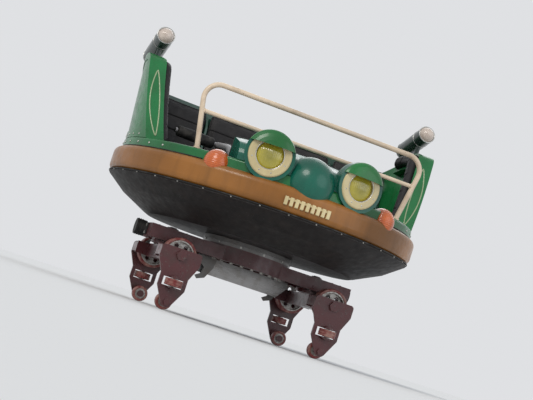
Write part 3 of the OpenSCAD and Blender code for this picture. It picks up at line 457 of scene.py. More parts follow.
wheel_centre = {joint["child"]: joint["pos_m"] for joint in frame["joints"]}
hub_bolt_r, hub_face = 0.030, 0.043
for end in ("lead", "trail"):
    for side, sy in (("near", -1), ("far", 1)):
        for kind, axis, tyre_inner in (("road", 1, 0.097), ("side", 2, 0.042), ("upstop", 1, 0.037)):
            name = f"{kind}_wheel_{end}_{side}"
            dress(wheel_finish(name + "_finish", wheel_centre[name], axis, tyre_inner), name)
        x, y, z = wheel_centre[f"road_wheel_{end}_{side}"]
        spots = circle((x, y - sy * hub_face, z), hub_bolt_r, 1, around(6))
        fit(heads(f"hub_bolts_{end}_{side}", spots, (0, -sy, 0), 0.0035, 0.004),
            f"road_wheel_{end}_{side}", zinc)

# Pan and floor
# The tub's bottom is a black glass-fibre pan. Inside it a chequered metal plate is screwed
# down as the floor, with raised bars in pairs at right angles.


def gel_coat(name, colour, shade=0.80, gloss=0.24, dirt=(0.16, 0.12, 0.08), dirty=0.35, sun=1.10,
             coat=0.45):
    """Moulded gel coat: slow sun fading from shade to sun, streaks of road dirt running down,
    orange peel, fine scratches, dulled edges and a clear coat."""
    mat, shader, coords = finish(name)
    fade = spread(grainy(coords, 1.8, 2.0), 0.35, 0.65)
    base = blend_in(fade, toned(colour, shade), toned(colour, sun))
    streak = spread(grainy(coords, 12.0, 4.0, (1, 1, 0.18)), 0.50, 0.78, 0.0, dirty)
    base = blend_in(streak, base, dirt)
    scratch = spread(grainy(coords, 90.0, 2.0, (1.0, 1.0, 9.0)), 0.70, 0.73, 0.0, 0.35)
    base = blend_in(scratch, base, toned(colour, 0.5, 0.25))
    base = blend_in(rubbed_edges(coords, 0.5), base, toned(colour, 0.6, 0.16))
    relief(shader, grainy(coords, 90.0, 2.0), 0.00012)
    set_sockets(shader, {"Base Color": base, "Specular IOR Level": 0.3, "Coat Weight": coat,
                         "Coat Roughness": 0.10,
                         "Roughness": uneven(grainy(coords, 22.0, 4.0), gloss - 0.06, gloss + 0.16)})
    return mat


pan_black = gel_coat("pan_black", (0.006, 0.004, 0.0035), gloss=0.58, dirt=(0.026, 0.017, 0.013),
                     dirty=0.5, coat=0.04)
dress(pan_black, "underpan")
pan_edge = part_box("underpan")[1]
flange = on_circle(pan_edge.x, pan_edge.z - 0.006, np.arange(5, 360, 10))
fit(heads("pan_flange_bolts", flange, flange * [1, 1, 0], 0.006, 0.005, 10, dome=True),
    "gondola", zinc)

floor_below, floor_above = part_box("floor_plate")
sheet_low, sheet_top, sheet_r = floor_below.z + 0.0003, floor_above.z - 0.003, floor_above.x - 0.0005
disc = [circle((0, 0, z), sheet_r, 2, around(128)) for z in (sheet_low, sheet_top)]
plate = skin("floor_sheet", disc, tips=((0, 0, sheet_low), (0, 0, sheet_top)))
pitch, margin, bar_height, bar_sunk = 0.034, 0.03, 0.0027, 0.0004
cell = np.arange(-22, 23)
gx, gy = np.meshgrid(cell * pitch, cell * pitch, indexing="ij")
turn = (cell[:, None] + cell) % 2 * (np.pi / 2) + np.pi / 4
keep = np.hypot(gx, gy) < sheet_r - margin
foot = np.array([(-0.013, 0), (-0.006, -0.0035), (0.006, -0.0035), (0.013, 0), (0.006, 0.0035),
                 (-0.006, 0.0035)])
bar_long, bar_wide = np.concatenate([foot, foot * [0.7, 0.5]]).T
cos, sin = np.cos(turn[keep])[:, None], np.sin(turn[keep])[:, None]
tread_x = gx[keep][:, None] + bar_long * cos - bar_wide * sin
tread_y = gy[keep][:, None] + bar_long * sin + bar_wide * cos
tread_z = np.broadcast_to(sheet_top - bar_sunk + np.repeat((0.0, bar_height), 6), tread_x.shape)
bars = copies(keep.sum(), 12, ring_faces(2, 6), np.arange(12).reshape(2, 6))
treads = solid("floor_treads", np.stack([tread_x, tread_y, tread_z], -1), bars)
floor_metal = bare_steel("floor_metal", (0.36, 0.36, 0.36), 0.42)
floor_piece = fit(joined("chequer_floor", [plate, treads]), "gondola", floor_metal)
smooth(floor_piece.data, False)
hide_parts("floor_plate")

# Rim band, sill and gasket
# The widest part is a round-edged glass-fibre band in ochre gel coat. The green sill is
# bolted down on it over a black rubber gasket, and the body panels stand on the sill.
rim_ochre = gel_coat("rim_ochre", (0.25, 0.100, 0.018), shade=0.62, gloss=0.34,
                     dirt=(0.075, 0.034, 0.008), dirty=0.42, sun=1.25, coat=0.2)
body_green = gel_coat("body_green", (0.009, 0.130, 0.036), shade=0.70, gloss=0.28,
                      dirt=(0.025, 0.042, 0.015), sun=1.3, coat=0.25)
dress(rim_ochre, "rim_band")
dress(body_green, "body_sill", "wing_left", "wing_right", "back_shell", "rear_deck")
rim_edge, sill_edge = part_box("rim_band")[1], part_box("body_sill")[1]
rim_r, rim_top, sill_top = rim_edge.x, rim_edge.z, sill_edge.z
gasket_rubber = moulded_rubber("gasket_rubber", (0.02, 0.02, 0.02))
gasket_path = on_circle(sill_edge.x + 0.0016, rim_top + 0.0035, np.linspace(39.5, 320.5, 220))
fit(tube("sill_gasket", gasket_path, 0.005), "gondola", gasket_rubber)
pan_joint = on_circle(pan_edge.x + 0.0041, pan_edge.z - 0.0005, np.linspace(0, 360, 180, endpoint=False))
fit(loops("pan_gasket", [pan_joint], 0.0045), "gondola", gasket_rubber)
sill_spots = on_circle(sill_edge.x, sill_top - 0.033, np.arange(54, 310, 8))
fit(heads("sill_bolts", sill_spots, sill_spots * [1, 1, 0], 0.008, 0.006, 12, dome=True),
    "gondola", zinc)

# Bulkhead, wings and back
# Glass-fibre mouldings in the sill's green gel coat: a flared shell in three parts with a
# hollow bolster inside each wing's leading edge, and a raised leaf-shaped bead on its front.
bench_green = gel_coat("bench_green", (0.012, 0.060, 0.038), gloss=0.30, dirt=(0.03, 0.03, 0.02), dirty=0.3)
dress(bench_green, "bulkhead")
wing_front, wing_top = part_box("wing_left")[0].y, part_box("wing_left")[1].z
back_top, wing_crest, wing_fall = 1.403, -0.0344, 0.620
flare, lean = math.tan(math.radians(5)), math.radians(24)
shell_r, bolster_r = rim_r - 0.050, rim_r - 0.170
leaf_low, leaf_long, leaf_half, leaf_r = 1.075, 0.455, 0.034, 0.990


def flared(r, z):
    """Radius at a height of a wall that flares out from r at the sill's top."""
    return r + (z - sill_top) * flare


def front_y(z, e=0.0):
    """Y of a wing's leaning front edge at a height, e metres behind it."""
    return wing_front + (z - sill_top) * math.tan(lean) + e / math.cos(lean)


def top_z(y):
    """Height of a wing's top edge: level, then a smooth fall to the back's height."""
    t = np.clip((y - wing_crest - 0.110) / wing_fall, 0, 1)
    return back_top + (wing_top - back_top) * (1 - t * t * (3 - 2 * t))


def leaf_on_front(side):
    """A closed leaf on the wing's front face: two arcs between a low and a high point."""
    t = np.linspace(0, 1, 60)
    up = np.concatenate([t, t[-2:0:-1]])
    arc = np.sin(np.pi * up)
    z = leaf_low + leaf_long * up
    half = leaf_half * arc ** 0.75 * np.where(np.arange(118) < 60, 1, -1)
    r, y = flared(leaf_r, z) + 0.008 * arc + half, front_y(z)
    return np.stack([side * np.sqrt(r ** 2 - y ** 2), y, z], -1)


pale_green = gel_coat("pale_green", (0.28, 0.36, 0.20), shade=0.85, dirt=(0.08, 0.10, 0.05), dirty=0.2)
fit(loops("wing_leaf_beads", [leaf_on_front(s) for s in (-1, 1)], 0.0048), "gondola",
    pale_green)
lap_rows, foot_row = ((116.4, 1.44), (119.8, 1.40)), sill_top + 0.022
rivet_rows = [on_circle(flared(shell_r, z), z, [s * degrees])
              for s in (-1, 1) for degrees, top in lap_rows for z in np.arange(1.075, top, 0.06)]
rivet_rows.append(on_circle(flared(shell_r, foot_row), foot_row, np.arange(74, 287, 6)))
rivets = np.concatenate(rivet_rows)
outwards = rivets * [1, 1, 0] - [0, 0, shell_r * flare]
fit(heads("shell_rivets", rivets, outwards, 0.0075, 0.0045, 10, dome=True), "gondola", zinc)

# Seats
# A moulded bench in two halves, each turned in towards the middle, carries four seats.
# Each seat has a foam base and back covered in black vinyl, with piping and sewn channels.
dress(bench_green, "seat_bench")
pair_x, pair_y, half_pitch, toe_in = 0.45114, 0.022, 0.2125, math.radians(7)
seat_w, seat_d, seat_h, pan_front, pan_z = 0.409, 0.440, 0.085, -0.228, 0.9255
back_h, back_t, back_foot, rest_y, rest_z = 0.430, 0.075, 0.125, 0.2947, 0.905
fall, recline = math.atan2(0.020, 0.535), math.radians(10)


def seat_vinyl(name, colour=(0.012, 0.011, 0.012)):
    """Coated cloth: leather-like grain of small cells, rubbed patches, soft dents and a
    faint sheen."""
    mat, shader, coords = finish(name)
    cells = new_node(coords, "TexVoronoi", {"Vector": coords, "Scale": 330.0}, feature="DISTANCE_TO_EDGE")
    grain = spread(cells.outputs["Distance"], 0.0, 0.25)
    rub = spread(grainy(coords, 9.0, 5.0), 0.45, 0.75, 0.0, 0.5)
    relief(shader, grainy(coords, 16.0, 3.0), 0.0025, relief(shader, grain, 0.0004))
    set_sockets(shader, {"Base Color": blend_in(rub, colour, (0.034, 0.031, 0.030)),
                         "Roughness": uneven(grainy(coords, 30.0), 0.36, 0.58),
                         "Specular IOR Level": 0.25, "Sheen Weight": 0.04})
    return mat


def rounded_block(w, d, h, r, n=9):
    """A box with all its edges rounded: six grids on its faces, where what reaches past a
    core box, smaller by r all round, is drawn in to a distance r from it."""
    u, v = np.meshgrid(np.linspace(-1, 1, n), np.linspace(-1, 1, n))
    sheets = [np.roll(np.stack([np.full_like(u, s), u * s, v], -1), axis, -1)
              for axis in range(3) for s in (-1, 1)]
    half = np.array([w, d, h]) / 2
    box = np.array(sheets) * half
    core = np.clip(box, r - half, half - r)
    out = box - core
    size = np.maximum(np.linalg.norm(out, axis=-1, keepdims=True), 1e-9)
    k = np.arange(6 * n * n).reshape(6, n, n)
    quads = np.stack([k[:, :-1, :-1], k[:, :-1, 1:], k[:, 1:, 1:], k[:, 1:, :-1]], -1)
    return core + out / size * r, quads.reshape(-1, 4).tolist()


def worked_in(piece):
    """The piece's mesh with its modifiers worked in and none left on it."""
    made = bpy.data.meshes.new_from_object(
        piece.evaluated_get(bpy.context.evaluated_depsgraph_get()))
    piece.modifiers.clear()
    piece.data = made
    return made


def stuffed(name, w, d, h, corner=0.024, voxel=0.007, cap=0.009):
    """A cushion's points and quads, blown up from a slightly smaller rounded block: voxel
    remesh, twenty frames of Cloth under pressure without gravity, no point moved further
    than cap, and one subdivision."""
    piece = solid(name, *rounded_block(w, d, h, corner))
    remesh = piece.modifiers.new("even", "REMESH")
    remesh.mode = "VOXEL"
    remesh.voxel_size = voxel
    even = worked_in(piece)
    rest = points_of(even)
    cloth = piece.modifiers.new("blow", "CLOTH")
    cloth.settings.quality = 5
    cloth.settings.mass = 0.4
    cloth.settings.tension_stiffness = 12
    cloth.settings.compression_stiffness = 12
    cloth.settings.bending_stiffness = 1.5
    cloth.settings.use_pressure = True
    cloth.settings.uniform_pressure_force = 4.0
    cloth.settings.effector_weights.gravity = 0.0
    cloth.point_cache.frame_start, cloth.point_cache.frame_end = 1, 20
    for f in range(1, 21):
        scene.frame_set(f)
    way = points_of(worked_in(piece)) - rest
    scene.frame_set(1)
    far = np.linalg.norm(way, axis=1, keepdims=True)
    blown = rest + way * np.minimum(1.0, cap / np.maximum(far, 1e-9))
    piece.data.vertices.foreach_set("co", blown.ravel())
    finer = piece.modifiers.new("finer", "SUBSURF")
    finer.levels = finer.render_levels = 1
    fine = worked_in(piece)
    quads = np.empty(len(fine.loops), int)
    fine.loops.foreach_get("vertex_index", quads)
    points = points_of(fine)
    bpy.data.objects.remove(piece)
    return points, quads.reshape(-1, 4)


def crease(points, seams, over, depth=0.007, width=0.005):
    """Sewn channels across the face: points higher than over are pulled down by the sum of
    bell curves of their distance along Y from each seam."""
    bell = np.exp(-((points[:, 1:2] - np.array(seams)) / width) ** 2).sum(1)
    points[:, 2] -= depth * bell * np.clip((points[:, 2] - over) / 0.012, 0, 1)


diamond = np.array([(-0.003, 0, 0), (0, -0.0009, 0), (0.003, 0, 0), (0, 0.0009, 0), (0, 0, 0.0009),
                    (0, 0, -0.0009)])
diamond_faces = np.array([(0, 1, 4), (1, 2, 4), (2, 3, 4), (3, 0, 4),
                          (1, 0, 5), (2, 1, 5), (3, 2, 5), (0, 3, 5)])


def stitches(cushion, seams, over, pitch=0.0085, beside=0.0075):
    """Two rows of stitches beside each sewn channel: thin diamonds along X, a pitch apart, each
    laid at the height of the nearest point of the cushion's face."""
    half_row = (seat_w - 0.070) / 2
    x = np.arange(-half_row, half_row, pitch)
    y = (np.array(seams)[:, None] + [[-beside, beside]]).ravel()
    spot = np.stack(np.meshgrid(x, y), -1).reshape(-1, 2)
    face = cushion[cushion[:, 2] > over]
    nearest = ((spot[:, None] - face[None, :, :2]) ** 2).sum(-1).argmin(1)
    middle = np.concatenate([spot, face[nearest, 2:]], 1)
    return (middle[:, None] + diamond[None]).reshape(-1, 3)


def piping_on(cushion, w, d, z, r=0.034, slice_half=0.005, near=0.010, proud=0.0008):
    """A cord's path round a cushion at one height: a round-cornered rectangle, each point
    then moved out to the furthest point of the cushion that is near its own normal."""
    a = around(120)
    c, s = np.cos(a), np.sin(a)
    half_w, half_d = w / 2 - r, d / 2 - r
    push = np.minimum(half_w / np.maximum(np.abs(c), 1e-9), half_d / np.maximum(np.abs(s), 1e-9))
    core = np.stack([push * c, push * s], -1)
    out = np.stack([np.where(np.abs(core[:, 0]) > half_w - 1e-6, np.sign(c), 0.0),
                    np.where(np.abs(core[:, 1]) > half_d - 1e-6, np.sign(s), 0.0)], -1)
    out = sum(np.roll(out, k, 0) for k in range(-3, 4))
    out /= np.linalg.norm(out, axis=1)[:, None]
    slab = cushion[np.abs(cushion[:, 2] - z) < slice_half, :2]
    gap = slab[None] - core[:, None]
    aside = np.abs(gap[..., 0] * out[:, None, 1] - gap[..., 1] * out[:, None, 0])
    reach = np.where(aside < near, (gap * out[:, None]).sum(-1), 0.0).max(1)
    return np.concatenate([core + out * (reach[:, None] + proud), np.full((120, 1), z)], 1)


def upholstered(name, size, seams, over, piping_z):
    """A cushion's points and quads, the path of its piping and the points of its stitches."""
    points, quads = stuffed(name, *size)
    piping = piping_on(points, size[0], size[1], piping_z)
    crease(points, seams, over)
    return points, quads, piping, stitches(points, seams, over)


def in_pair(points, side):
    """Points of a pair of seats' own frame put into the car's: turned by the toe-in about
    the pair's middle, then moved out to it."""
    a = -side * toe_in
    x, y, z = np.asarray(points, float).T
    return np.stack([x * math.cos(a) - y * math.sin(a) + side * pair_x,
                     x * math.sin(a) + y * math.cos(a) + pair_y, z], -1)


def on_pan(points, s, side):
    """A base cushion's own frame laid on the seat pan, which falls a little to the rear."""
    x, y, z = np.asarray(points, float).T
    y, z = y + seat_d / 2, z + seat_h / 2
    return in_pair(np.stack([x + s * half_pitch, pan_front + y * math.cos(fall) + z * math.sin(fall),
                             pan_z - y * math.sin(fall) + z * math.cos(fall)], -1), side)


def on_back(points, s, side):
    """A back cushion's own frame, its front along +Z, stood against the leaning backrest."""
    x, y, z = np.asarray(points, float).T
    up, out = back_foot + back_h / 2 + y, back_t / 2 - z
    return in_pair(np.stack([-x + s * half_pitch,
                             rest_y - back_t + out * math.cos(recline) + up * math.sin(recline),
                             rest_z + up * math.cos(recline) + (back_t - out) * math.sin(recline)], -1),
                   side)


base = upholstered("base", (seat_w - 0.016, seat_d - 0.018, seat_h - 0.020), (-0.11, 0.0, 0.11),
                   0.012, 0.022)
back = upholstered("back", (seat_w - 0.016, back_h - 0.016, back_t - 0.019), (-0.12, -0.02, 0.08),
                   0.006, 0.016)
black_vinyl = seat_vinyl("seat_vinyl")
seat_thread = seat_vinyl("seat_thread", (0.11, 0.105, 0.095))
sides = ((1, "left"), (-1, "right"))
for side, word in sides:
    for kind, (points, quads, _, _), put in (("seat", base, on_pan), ("back", back, on_back)):
        both = np.concatenate([put(points, s, side) for s in (-1, 1)])
        pads = solid(f"{kind}_pads_{word}", both, copies(2, len(points), quads))
        fit(pads, "gondola", black_vinyl)
        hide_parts(f"{kind}_cushions_{word}")
    seats = [(s, made, put) for s in (-1, 1) for made, put in ((base, on_pan), (back, on_back))]
    cords = [put(piping, s, side) for s, (_, _, piping, _), put in seats]
    fit(loops(f"seat_piping_{word}", cords, 0.0035), "gondola", black_vinyl)
    thread = np.concatenate([put(rows, s, side) for s, (_, _, _, rows), put in seats])
    sewn = copies(len(thread) // len(diamond), len(diamond), diamond_faces)
    fit(solid(f"seat_stitching_{word}", thread, sewn), "gondola", seat_thread)

# Bolster pads
# Long vinyl-covered foam pads on the bolsters, beside the shoulders of the outer seats.
# Each follows its wing's leading edge, round the corner and along the top.
pad_outer, pad_inner, pad_low, pad_end, pad_thick = 0.016, 0.102, 1.060, 0.203, 0.0525


def edge_line(e):
    """Points along a wing's front and top edge, e metres inside it, as Y and Z, and their
    distances along it: a straight rise, an arc, a level part and the start of the fall."""
    r = max(0.090 - e, 0.002)
    zc = wing_top - e - r
    yc = front_y(zc, e + r)
    a = np.linspace(np.pi - lean, np.pi / 2, 14)
    corner = np.stack([yc + r * np.cos(a), zc + r * np.sin(a)], -1)
    y = np.linspace(wing_crest + 0.020, pad_end, 12)
    level = np.stack([y, top_z(y) - e], -1)
    line = np.concatenate([[[front_y(pad_low, e), pad_low]], corner, level])
    length = np.concatenate([[0], np.cumsum(np.linalg.norm(np.diff(line, axis=0), axis=1))])
    at = np.linspace(0, length[-1], 180)
    return np.stack([np.interp(at, length, line[:, k]) for k in (0, 1)], -1), at


def bolster_pad(name, side):
    """A pad between two lines inside the wing's edge. Its bulge inwards is a rounded arch
    over its width, closing at its ends, with bell-shaped sewn channels across it and one
    shallow seam along its middle."""
    outer, at = edge_line(pad_outer)
    inner = edge_line(pad_inner)[0]
    w = np.linspace(0, 1, 25)
    arch = (1 - np.abs(2 * w - 1) ** 2.8) ** 0.5
    ends = np.sqrt(1 - (1 - np.clip(np.minimum(at, at[-1] - at) / 0.045, 0.0005, 1)) ** 2)
    channels = np.linspace(0.13, at[-1] - 0.13, 5)
    sewn = 1 - 0.13 * np.exp(-((at[:, None] - channels) / 0.0055) ** 2).sum(1)
    seam = 1 - 0.05 * np.exp(-((w - 0.5) / 0.03) ** 2)
    bulge = pad_thick * (ends * sewn)[:, None] * (arch * seam)[None]
    front = outer[:, None] + (inner - outer)[:, None] * w[None, :, None]
    wall = flared(bolster_r - 0.0004, front[..., 1])
    r = np.concatenate([wall - bulge, wall[:, -2:0:-1]], 1)
    y, z = (np.concatenate([front[..., k], front[:, -2:0:-1, k]], 1) for k in (0, 1))
    grid = np.stack([side * np.sqrt(r ** 2 - y ** 2), y, z], -1)
    return skin(name, grid, tips=(grid[0].mean(0), grid[-1].mean(0)))


for side, word in sides:
    pad = fit(bolster_pad(f"bolster_pad_{word}", side), "gondola", black_vinyl)
    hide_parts(f"side_pad_{word}")

# Lap bars
# Bent steel tube posts on clevises, powder coated grey, with a crossbar over each pair of
# seats. Black foam sleeves are pushed over the crossbar from both ends.
bar_grey = weathered_paint("bar_grey", (0.22, 0.22, 0.23), (0.33, 0.31, 0.29), gloss=0.34, wear=0.66)
base_grey = weathered_paint("base_grey", (0.10, 0.10, 0.105), (0.30, 0.28, 0.26), gloss=0.42, wear=0.58)
dress(base_grey, "lap_bar_bases")
pad_foam = moulded_rubber("pad_foam", (0.016, 0.016, 0.016), 0.7)
bar_y, bar_z, bar_r, bar_half = -0.060, 1.197, 0.0171, 0.330
foam_start, foam_long, foam_r = 0.0345, 0.281, 0.0385


def foam_sleeve(s, side):
    """A sleeve round the crossbar: a profile of radius along X, swollen in the middle, nipped
    at a seam and rounded at its ends, turned about the bar and closed by its bore."""
    t = np.linspace(0, 1, 48)
    swell = foam_r + 0.0012 * np.sin(t * np.pi) - 0.0020 * np.exp(-((t - 0.5) / 0.012) ** 2)
    close = np.clip(np.minimum(t, 1 - t) / 0.055, 0, 1)
    outside = bar_r + (swell - bar_r) * np.sqrt(1 - (1 - close) ** 2)
    radius = np.concatenate([outside, np.full(46, bar_r - 0.00002)])[:, None]
    x = s * (foam_start + foam_long * np.concatenate([t, t[-2:0:-1]]))[:, None]
    a = around(28)
    whole = np.stack([x + 0 * a, bar_y + radius * np.cos(a), bar_z + radius * np.sin(a)], -1)
    return skin("sleeve", in_pair(whole.reshape(-1, 3), side).reshape(whole.shape), closed=True)


dress(bar_grey, "lap_bar_left", "lap_bar_right")
for side, word in sides:
    sleeves = [foam_sleeve(s, side) for s in (-1, 1)]
    foam = fit(joined(f"lap_bar_foam_{word}", sleeves), f"lap_bar_{word}", pad_foam)
    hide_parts(f"lap_bar_pads_{word}")
    plugs = in_pair([(s * bar_half, bar_y, bar_z) for s in (-1, 1)], side)
    fit(heads(f"bar_end_plugs_{word}", plugs, plugs - plugs[::-1], 0.0165, 0.006, 20, dome=True),
        f"lap_bar_{word}", pad_foam)

# Guard rail
# One steel tube bent round in front of the seats, with a thinner rail below, welded to
# round feet on the sill and powder coated cream.
rail_cream = weathered_paint("rail_cream", (0.66, 0.53, 0.39), (0.24, 0.15, 0.09), gloss=0.32, wear=0.66,
                             grime=(0.30, 0.20, 0.12))
dress(rail_cream, "guard_rail")
rail_y = (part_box("guard_rail")[0].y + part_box("guard_rail")[1].y) / 2
foot_x, rail_lean, lower_rail = 0.7122, math.tan(math.radians(11)), 0.245
rail_r, post_r, screw_r, post_bead, foot_top = 0.0142, 0.0176, 0.0212, 0.0085, 0.008
turn = around(60)
bead_r = 0.0026 * (1 + 0.14 * np.sin(15 * turn))
weld_lines, foot_screws = [], []
for s in (-1, 1):
    joint_x = s * (foot_x + lower_rail * rail_lean - 0.0180)
    round_rail = circle((joint_x, rail_y, sill_top + lower_rail), rail_r, 0, turn)
    round_rail[:, 0] -= s * 0.002 * np.cos(2 * turn)
    post_x = s * (foot_x + foot_top * rail_lean)
    round_post = circle((post_x, rail_y, sill_top + post_bead), post_r, 2, turn)
    weld_lines += [round_rail, round_post]
    foot_screws.append(circle((s * foot_x, rail_y, sill_top + foot_top), screw_r, 2,
                              np.radians((45, 135, 225, 315))))
fit(loops("guard_rail_welds", weld_lines, bead_r, 6), "gondola", rail_cream)
fit(heads("guard_foot_screws", np.concatenate(foot_screws), (0, 0, 1), 0.0026, 0.0024, 10, dome=True),
    "gondola", zinc)

# Bonnet, headlamps and grille
# A rounded glass-fibre bonnet in teal gel coat with a ball-shaped nose and two lamp
# housings. Each lamp has a cream ring, a fluted yellow lens and a green lid over it.
bonnet_teal = gel_coat("bonnet_teal", (0.005, 0.100, 0.066), shade=0.70, gloss=0.26,
                       dirt=(0.010, 0.032, 0.024), dirty=0.3, sun=1.25, coat=0.25)
cream = gel_coat("cream_plastic", (0.60, 0.50, 0.27), shade=0.82, gloss=0.26, dirt=(0.30, 0.22, 0.10))
lid_green = gel_coat("lid_green", (0.012, 0.145, 0.034), shade=0.75, gloss=0.28, dirt=(0.02, 0.05, 0.015),
                     dirty=0.25, sun=1.2, coat=0.25)
dress(bonnet_teal, "bonnet")
dress(lid_green, "headlamp_hoods")
dress(cream, "headlamp_bezels", "grille")
top_profile = np.array([(0.63343, 1.2400), (0.71343, 1.2340), (0.84843, 1.2040), (0.97493, 1.16856)])
bonnet_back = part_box("bonnet")[1]
edge_half, edge_y = bonnet_back.x - 0.002, bonnet_back.y
edge_x = np.linspace(-edge_half, edge_half, 90)
edge_top = np.interp(np.hypot(edge_x, edge_y), top_profile[:, 0], top_profile[:, 1])
legs = np.linspace(sill_top + 0.005, edge_top[0], 16)[:-1]
trim_x = np.concatenate([np.full(15, -edge_half), edge_x, np.full(15, edge_half)])
trim_z = np.concatenate([legs, edge_top, legs[::-1]])
trim_path = np.stack([trim_x, np.full(120, edge_y + 0.0009), trim_z], -1)
fit(tube("bonnet_edge_trim", trim_path, 0.0055, 10), "gondola", gasket_rubber)
lamp_x, lamp_front, lamp_height, splay = 0.316, rim_r - 0.064, rim_top + 0.143, math.radians(12)
lens_r, lens_edge, lens_rise, lens_back, flute = 0.0873, -0.012, 0.0275, -0.0195, 0.012


def lamp_place(points, side):
    """A headlamp's own frame, Z out of its face and Y up, put into the car's."""
    x, y, z = np.moveaxis(np.asarray(points, float), -1, 0)
    a = side * splay
    fx, fy = x * math.cos(a) + z * math.sin(a), x * math.sin(a) - z * math.cos(a)
    return np.stack([fx + side * lamp_x, fy - lamp_front, y + lamp_height], -1)


def fluted_lens(side):
    """A dome on a polar grid with ribs across it: the height is the dome's, falling with
    the square of the distance, plus a row of small arches along X that fade out at the rim."""
    r = np.linspace(0.012, lens_r, 40)[:, None]
    a = around(112)
    x, y, q = r * np.cos(a), r * np.sin(a), r / lens_r
    arches = 0.0015 * np.abs(np.sin(np.pi * x / flute)) * np.clip((1 - q) / 0.12, 0, 1)
    dome = np.stack([x, y, lens_edge + lens_rise * (1 - q ** 2) + arches], -1)
    wall = circle((0, 0, lens_back), lens_r, 2, a)[None]
    tips = lamp_place([(0, 0, lens_edge + lens_rise), (0, 0, lens_back)], side)
    return skin("lens", lamp_place(np.concatenate([dome, wall]), side), tips=tips)


def lens_finish(name, clear, deep, centres, radius):
    """Tinted moulded lens: the tint is a little darker towards the middle of each lamp, by the distance of
    the Object coordinates from the nearer centre."""
    mat, shader, coords = finish(name)
    gaps = [measure("DISTANCE", coords, centre) for centre in centres]
    from_middle = spread(reckon("MINIMUM", *gaps), radius * 0.25, radius * 0.90)
    tint = blend_in(from_middle, deep, clear)
    haze = spread(grainy(coords, 60.0, 4.0), 0.45, 0.75, 0.0, 0.25)
    relief(shader, grainy(coords, 35.0, 2.0), 0.0004)
    set_sockets(shader, {"Base Color": blend_in(haze, tint, toned(clear, 1.0, 0.10)), "Roughness": 0.12,
                         "Coat Weight": 0.8, "Coat Roughness": 0.05})
    return mat


# Points on each lamp's axis just in front of its lens; the lens colour is painted darker towards them.
lamp_middles = [tuple(lamp_place([(0, 0, 0.010)], s)[0]) for s in (-1, 1)]
lens_yellow = lens_finish("lens_yellow", (0.45, 0.38, 0.030), (0.25, 0.22, 0.022), lamp_middles, 0.088)
lenses = fit(joined("headlamp_glass", [fluted_lens(s) for s in (-1, 1)]), "gondola",
             lens_yellow)
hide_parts("headlamp_lenses")
chrome = bare_steel("trim_chrome", (0.50, 0.50, 0.48), 0.24)
trim_line = circle((0, 0, 0.0046), 0.0905, 2, around(72))
fit(loops("headlamp_trim", [lamp_place(trim_line, s) for s in (-1, 1)], 0.0032), "gondola",
    chrome)
screw_line = circle((0, 0, 0.0095), 0.114, 2, np.radians((200, 250, 290, 340)))
screws, screw_tips = (np.concatenate([lamp_place(screw_line + [0, 0, out], s) for s in (-1, 1)])
                      for out in (0, 1))
fit(heads("headlamp_screws", screws, screw_tips - screws, 0.005, 0.003, 12, dome=True),
    "gondola", chrome)

# Marker and wing lamps
# Domed orange marker lamps on the rim's corners, and a bullet-shaped lamp on two stems on
# each wing, with a pale ribbed lens in a chrome ring and a seam band round its body.


def ribbed_lens(name, colour, aged, blotches, direction, ribs, depth, rough, coat):
    """Moulded lens: aged blotches between two levels of a noise, and ribs from a wave whose
    bands run across one direction."""
    mat, shader, coords = finish(name)
    scale, low, high = blotches
    age = spread(grainy(coords, scale, 4.0), low, high)
    wave = new_node(coords, "TexWave", {"Vector": coords, "Scale": ribs}, bands_direction=direction)
    relief(shader, wave.outputs["Fac"], depth)
    set_sockets(shader, {"Base Color": blend_in(age, colour, aged), "Roughness": rough, "Coat Weight": coat})
    return mat


dress(ribbed_lens("marker_orange", (0.58, 0.120, 0.016), (0.38, 0.066, 0.010), (10.0, 0.35, 0.7),
                  "Z", 26.0, 0.0014, 0.22, 0.5), "marker_lamps")
lamp_dark = gel_coat("lamp_dark", (0.012, 0.030, 0.024), gloss=0.2, dirt=(0.05, 0.05, 0.045), dirty=0.3)
dress(lamp_dark, "wing_lamps")
dress(ribbed_lens("lens_pale", (0.62, 0.53, 0.46), (0.45, 0.36, 0.30), (24.0, 0.4, 0.75),
                  "X", 40.0, 0.0010, 0.15, 0.6), "wing_lamp_lenses")
pod_x, pod_y, pod_z, pod_tilt = 1.0255, 0.2156, 1.740, math.radians(17)
stem_apart, grommet_r = 0.110, 0.0195


def pod_place(points, side):
    """A wing lamp's own frame, Z along it out of its face, put into the car's."""
    x, y, z = np.moveaxis(np.asarray(points, float), -1, 0)
    return np.stack([x + side * pod_x, pod_y + y * math.sin(pod_tilt) - z * math.cos(pod_tilt),
                     pod_z + y * math.cos(pod_tilt) + z * math.sin(pod_tilt)], -1)


turn = around(72)
band_r, band_thick = 0.0632, 0.0022
bands = ((0.2195, 0.0605, 0.0042), (0.120, band_r, band_thick), (-0.150, band_r, band_thick))
hoops = [tube("hoop", pod_place(circle((0, 0, z), radius, 2, turn), s), thick, closed=True)
         for s in (-1, 1) for z, radius, thick in bands]
fit(joined("wing_lamp_hoops", hoops), "gondola", chrome)
grommets = []
for s in (-1, 1):
    for stem_y in (pod_y - stem_apart, pod_y + stem_apart):
        path = circle((s * pod_x, stem_y, 0.001), grommet_r, 2, turn)
        path[:, 2] += top_z(path[:, 1])
        grommets.append(path)
fit(loops("wing_stem_grommets", grommets, 0.004), "gondola", gasket_rubber)

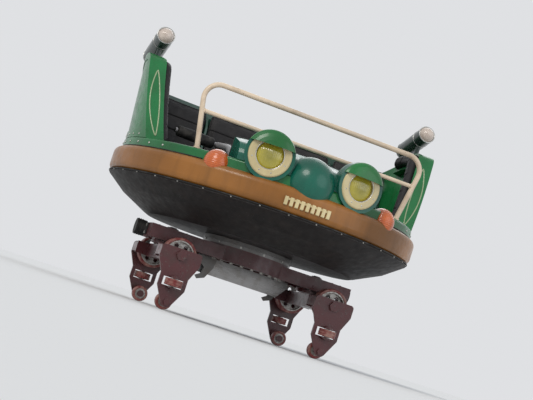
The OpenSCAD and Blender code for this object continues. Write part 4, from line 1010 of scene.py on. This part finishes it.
# Floor, light and world
# A plain pale floor that is seen from above only, three distant soft lamps and an even
# pale world around them.
floor_half = 60
floor = solid("stage_floor", [(sx * floor_half, sy * floor_half, -0.001)
                              for sx, sy in ((-1, -1), (1, -1), (1, 1), (-1, 1))], [[0, 1, 2, 3]])
if floor.data.polygons[0].normal.z < 0:
    floor.data.flip_normals()
stage_mat, shader, _ = finish("stage_pale")
set_sockets(shader, {"Base Color": (0.78, 0.79, 0.80, 1), "Roughness": 1.0, "Specular IOR Level": 0.0})
sided = new_node(shader, "MixShader", {"Fac": new_node(shader, "NewGeometry").outputs["Backfacing"],
                                       1: shader.outputs["BSDF"],
                                       2: new_node(shader, "BsdfTransparent").outputs["BSDF"]})
set_sockets(stage_mat.node_tree.nodes["Material Output"], {"Surface": sided.outputs["Shader"]})
floor.data.materials.append(stage_mat)


def soft_lamp(name, place, power, spread_angle, colour):
    """A lamp far off in the direction of a point, as wide in the sky as an angle in degrees."""
    light = bpy.data.lights.new(name, "SUN")
    light.energy = power
    light.angle = math.radians(spread_angle)
    light.color = colour
    lamp = bpy.data.objects.new(name, light)
    lamp.rotation_euler = Vector(place).to_track_quat("Z", "Y").to_euler()
    scene.collection.objects.link(lamp)


soft_lamp("key", (-5.5, -5.5, 6.0), 1.55, 26, (1.0, 0.96, 0.90))
soft_lamp("fill", (5.0, -6.0, 3.0), 0.60, 50, (0.92, 0.95, 1.0))
soft_lamp("back", (2.5, 6.0, 5.0), 0.45, 40, (1.0, 1.0, 1.0))

world = bpy.data.worlds.new("world")
scene.world = world
world.use_nodes = True
lit = world.node_tree.nodes["Background"]
set_sockets(lit, {"Color": (0.88, 0.91, 0.95, 1), "Strength": 0.52})
seen = new_node(lit, "Background", {"Color": (0.74, 0.75, 0.77, 1)})
rays = new_node(lit, "LightPath").outputs
shown = rays["Is Camera Ray"]
for ray in ("Is Glossy Ray", "Is Transmission Ray"):
    shown = reckon("MAXIMUM", shown, rays[ray])
pick = new_node(lit, "MixShader", {"Fac": shown, 1: lit.outputs["Background"],
                                   2: seen.outputs["Background"]})
set_sockets(world.node_tree.nodes["World Output"], {"Surface": pick.outputs["Shader"]})
scene.view_settings.view_transform = "Standard"
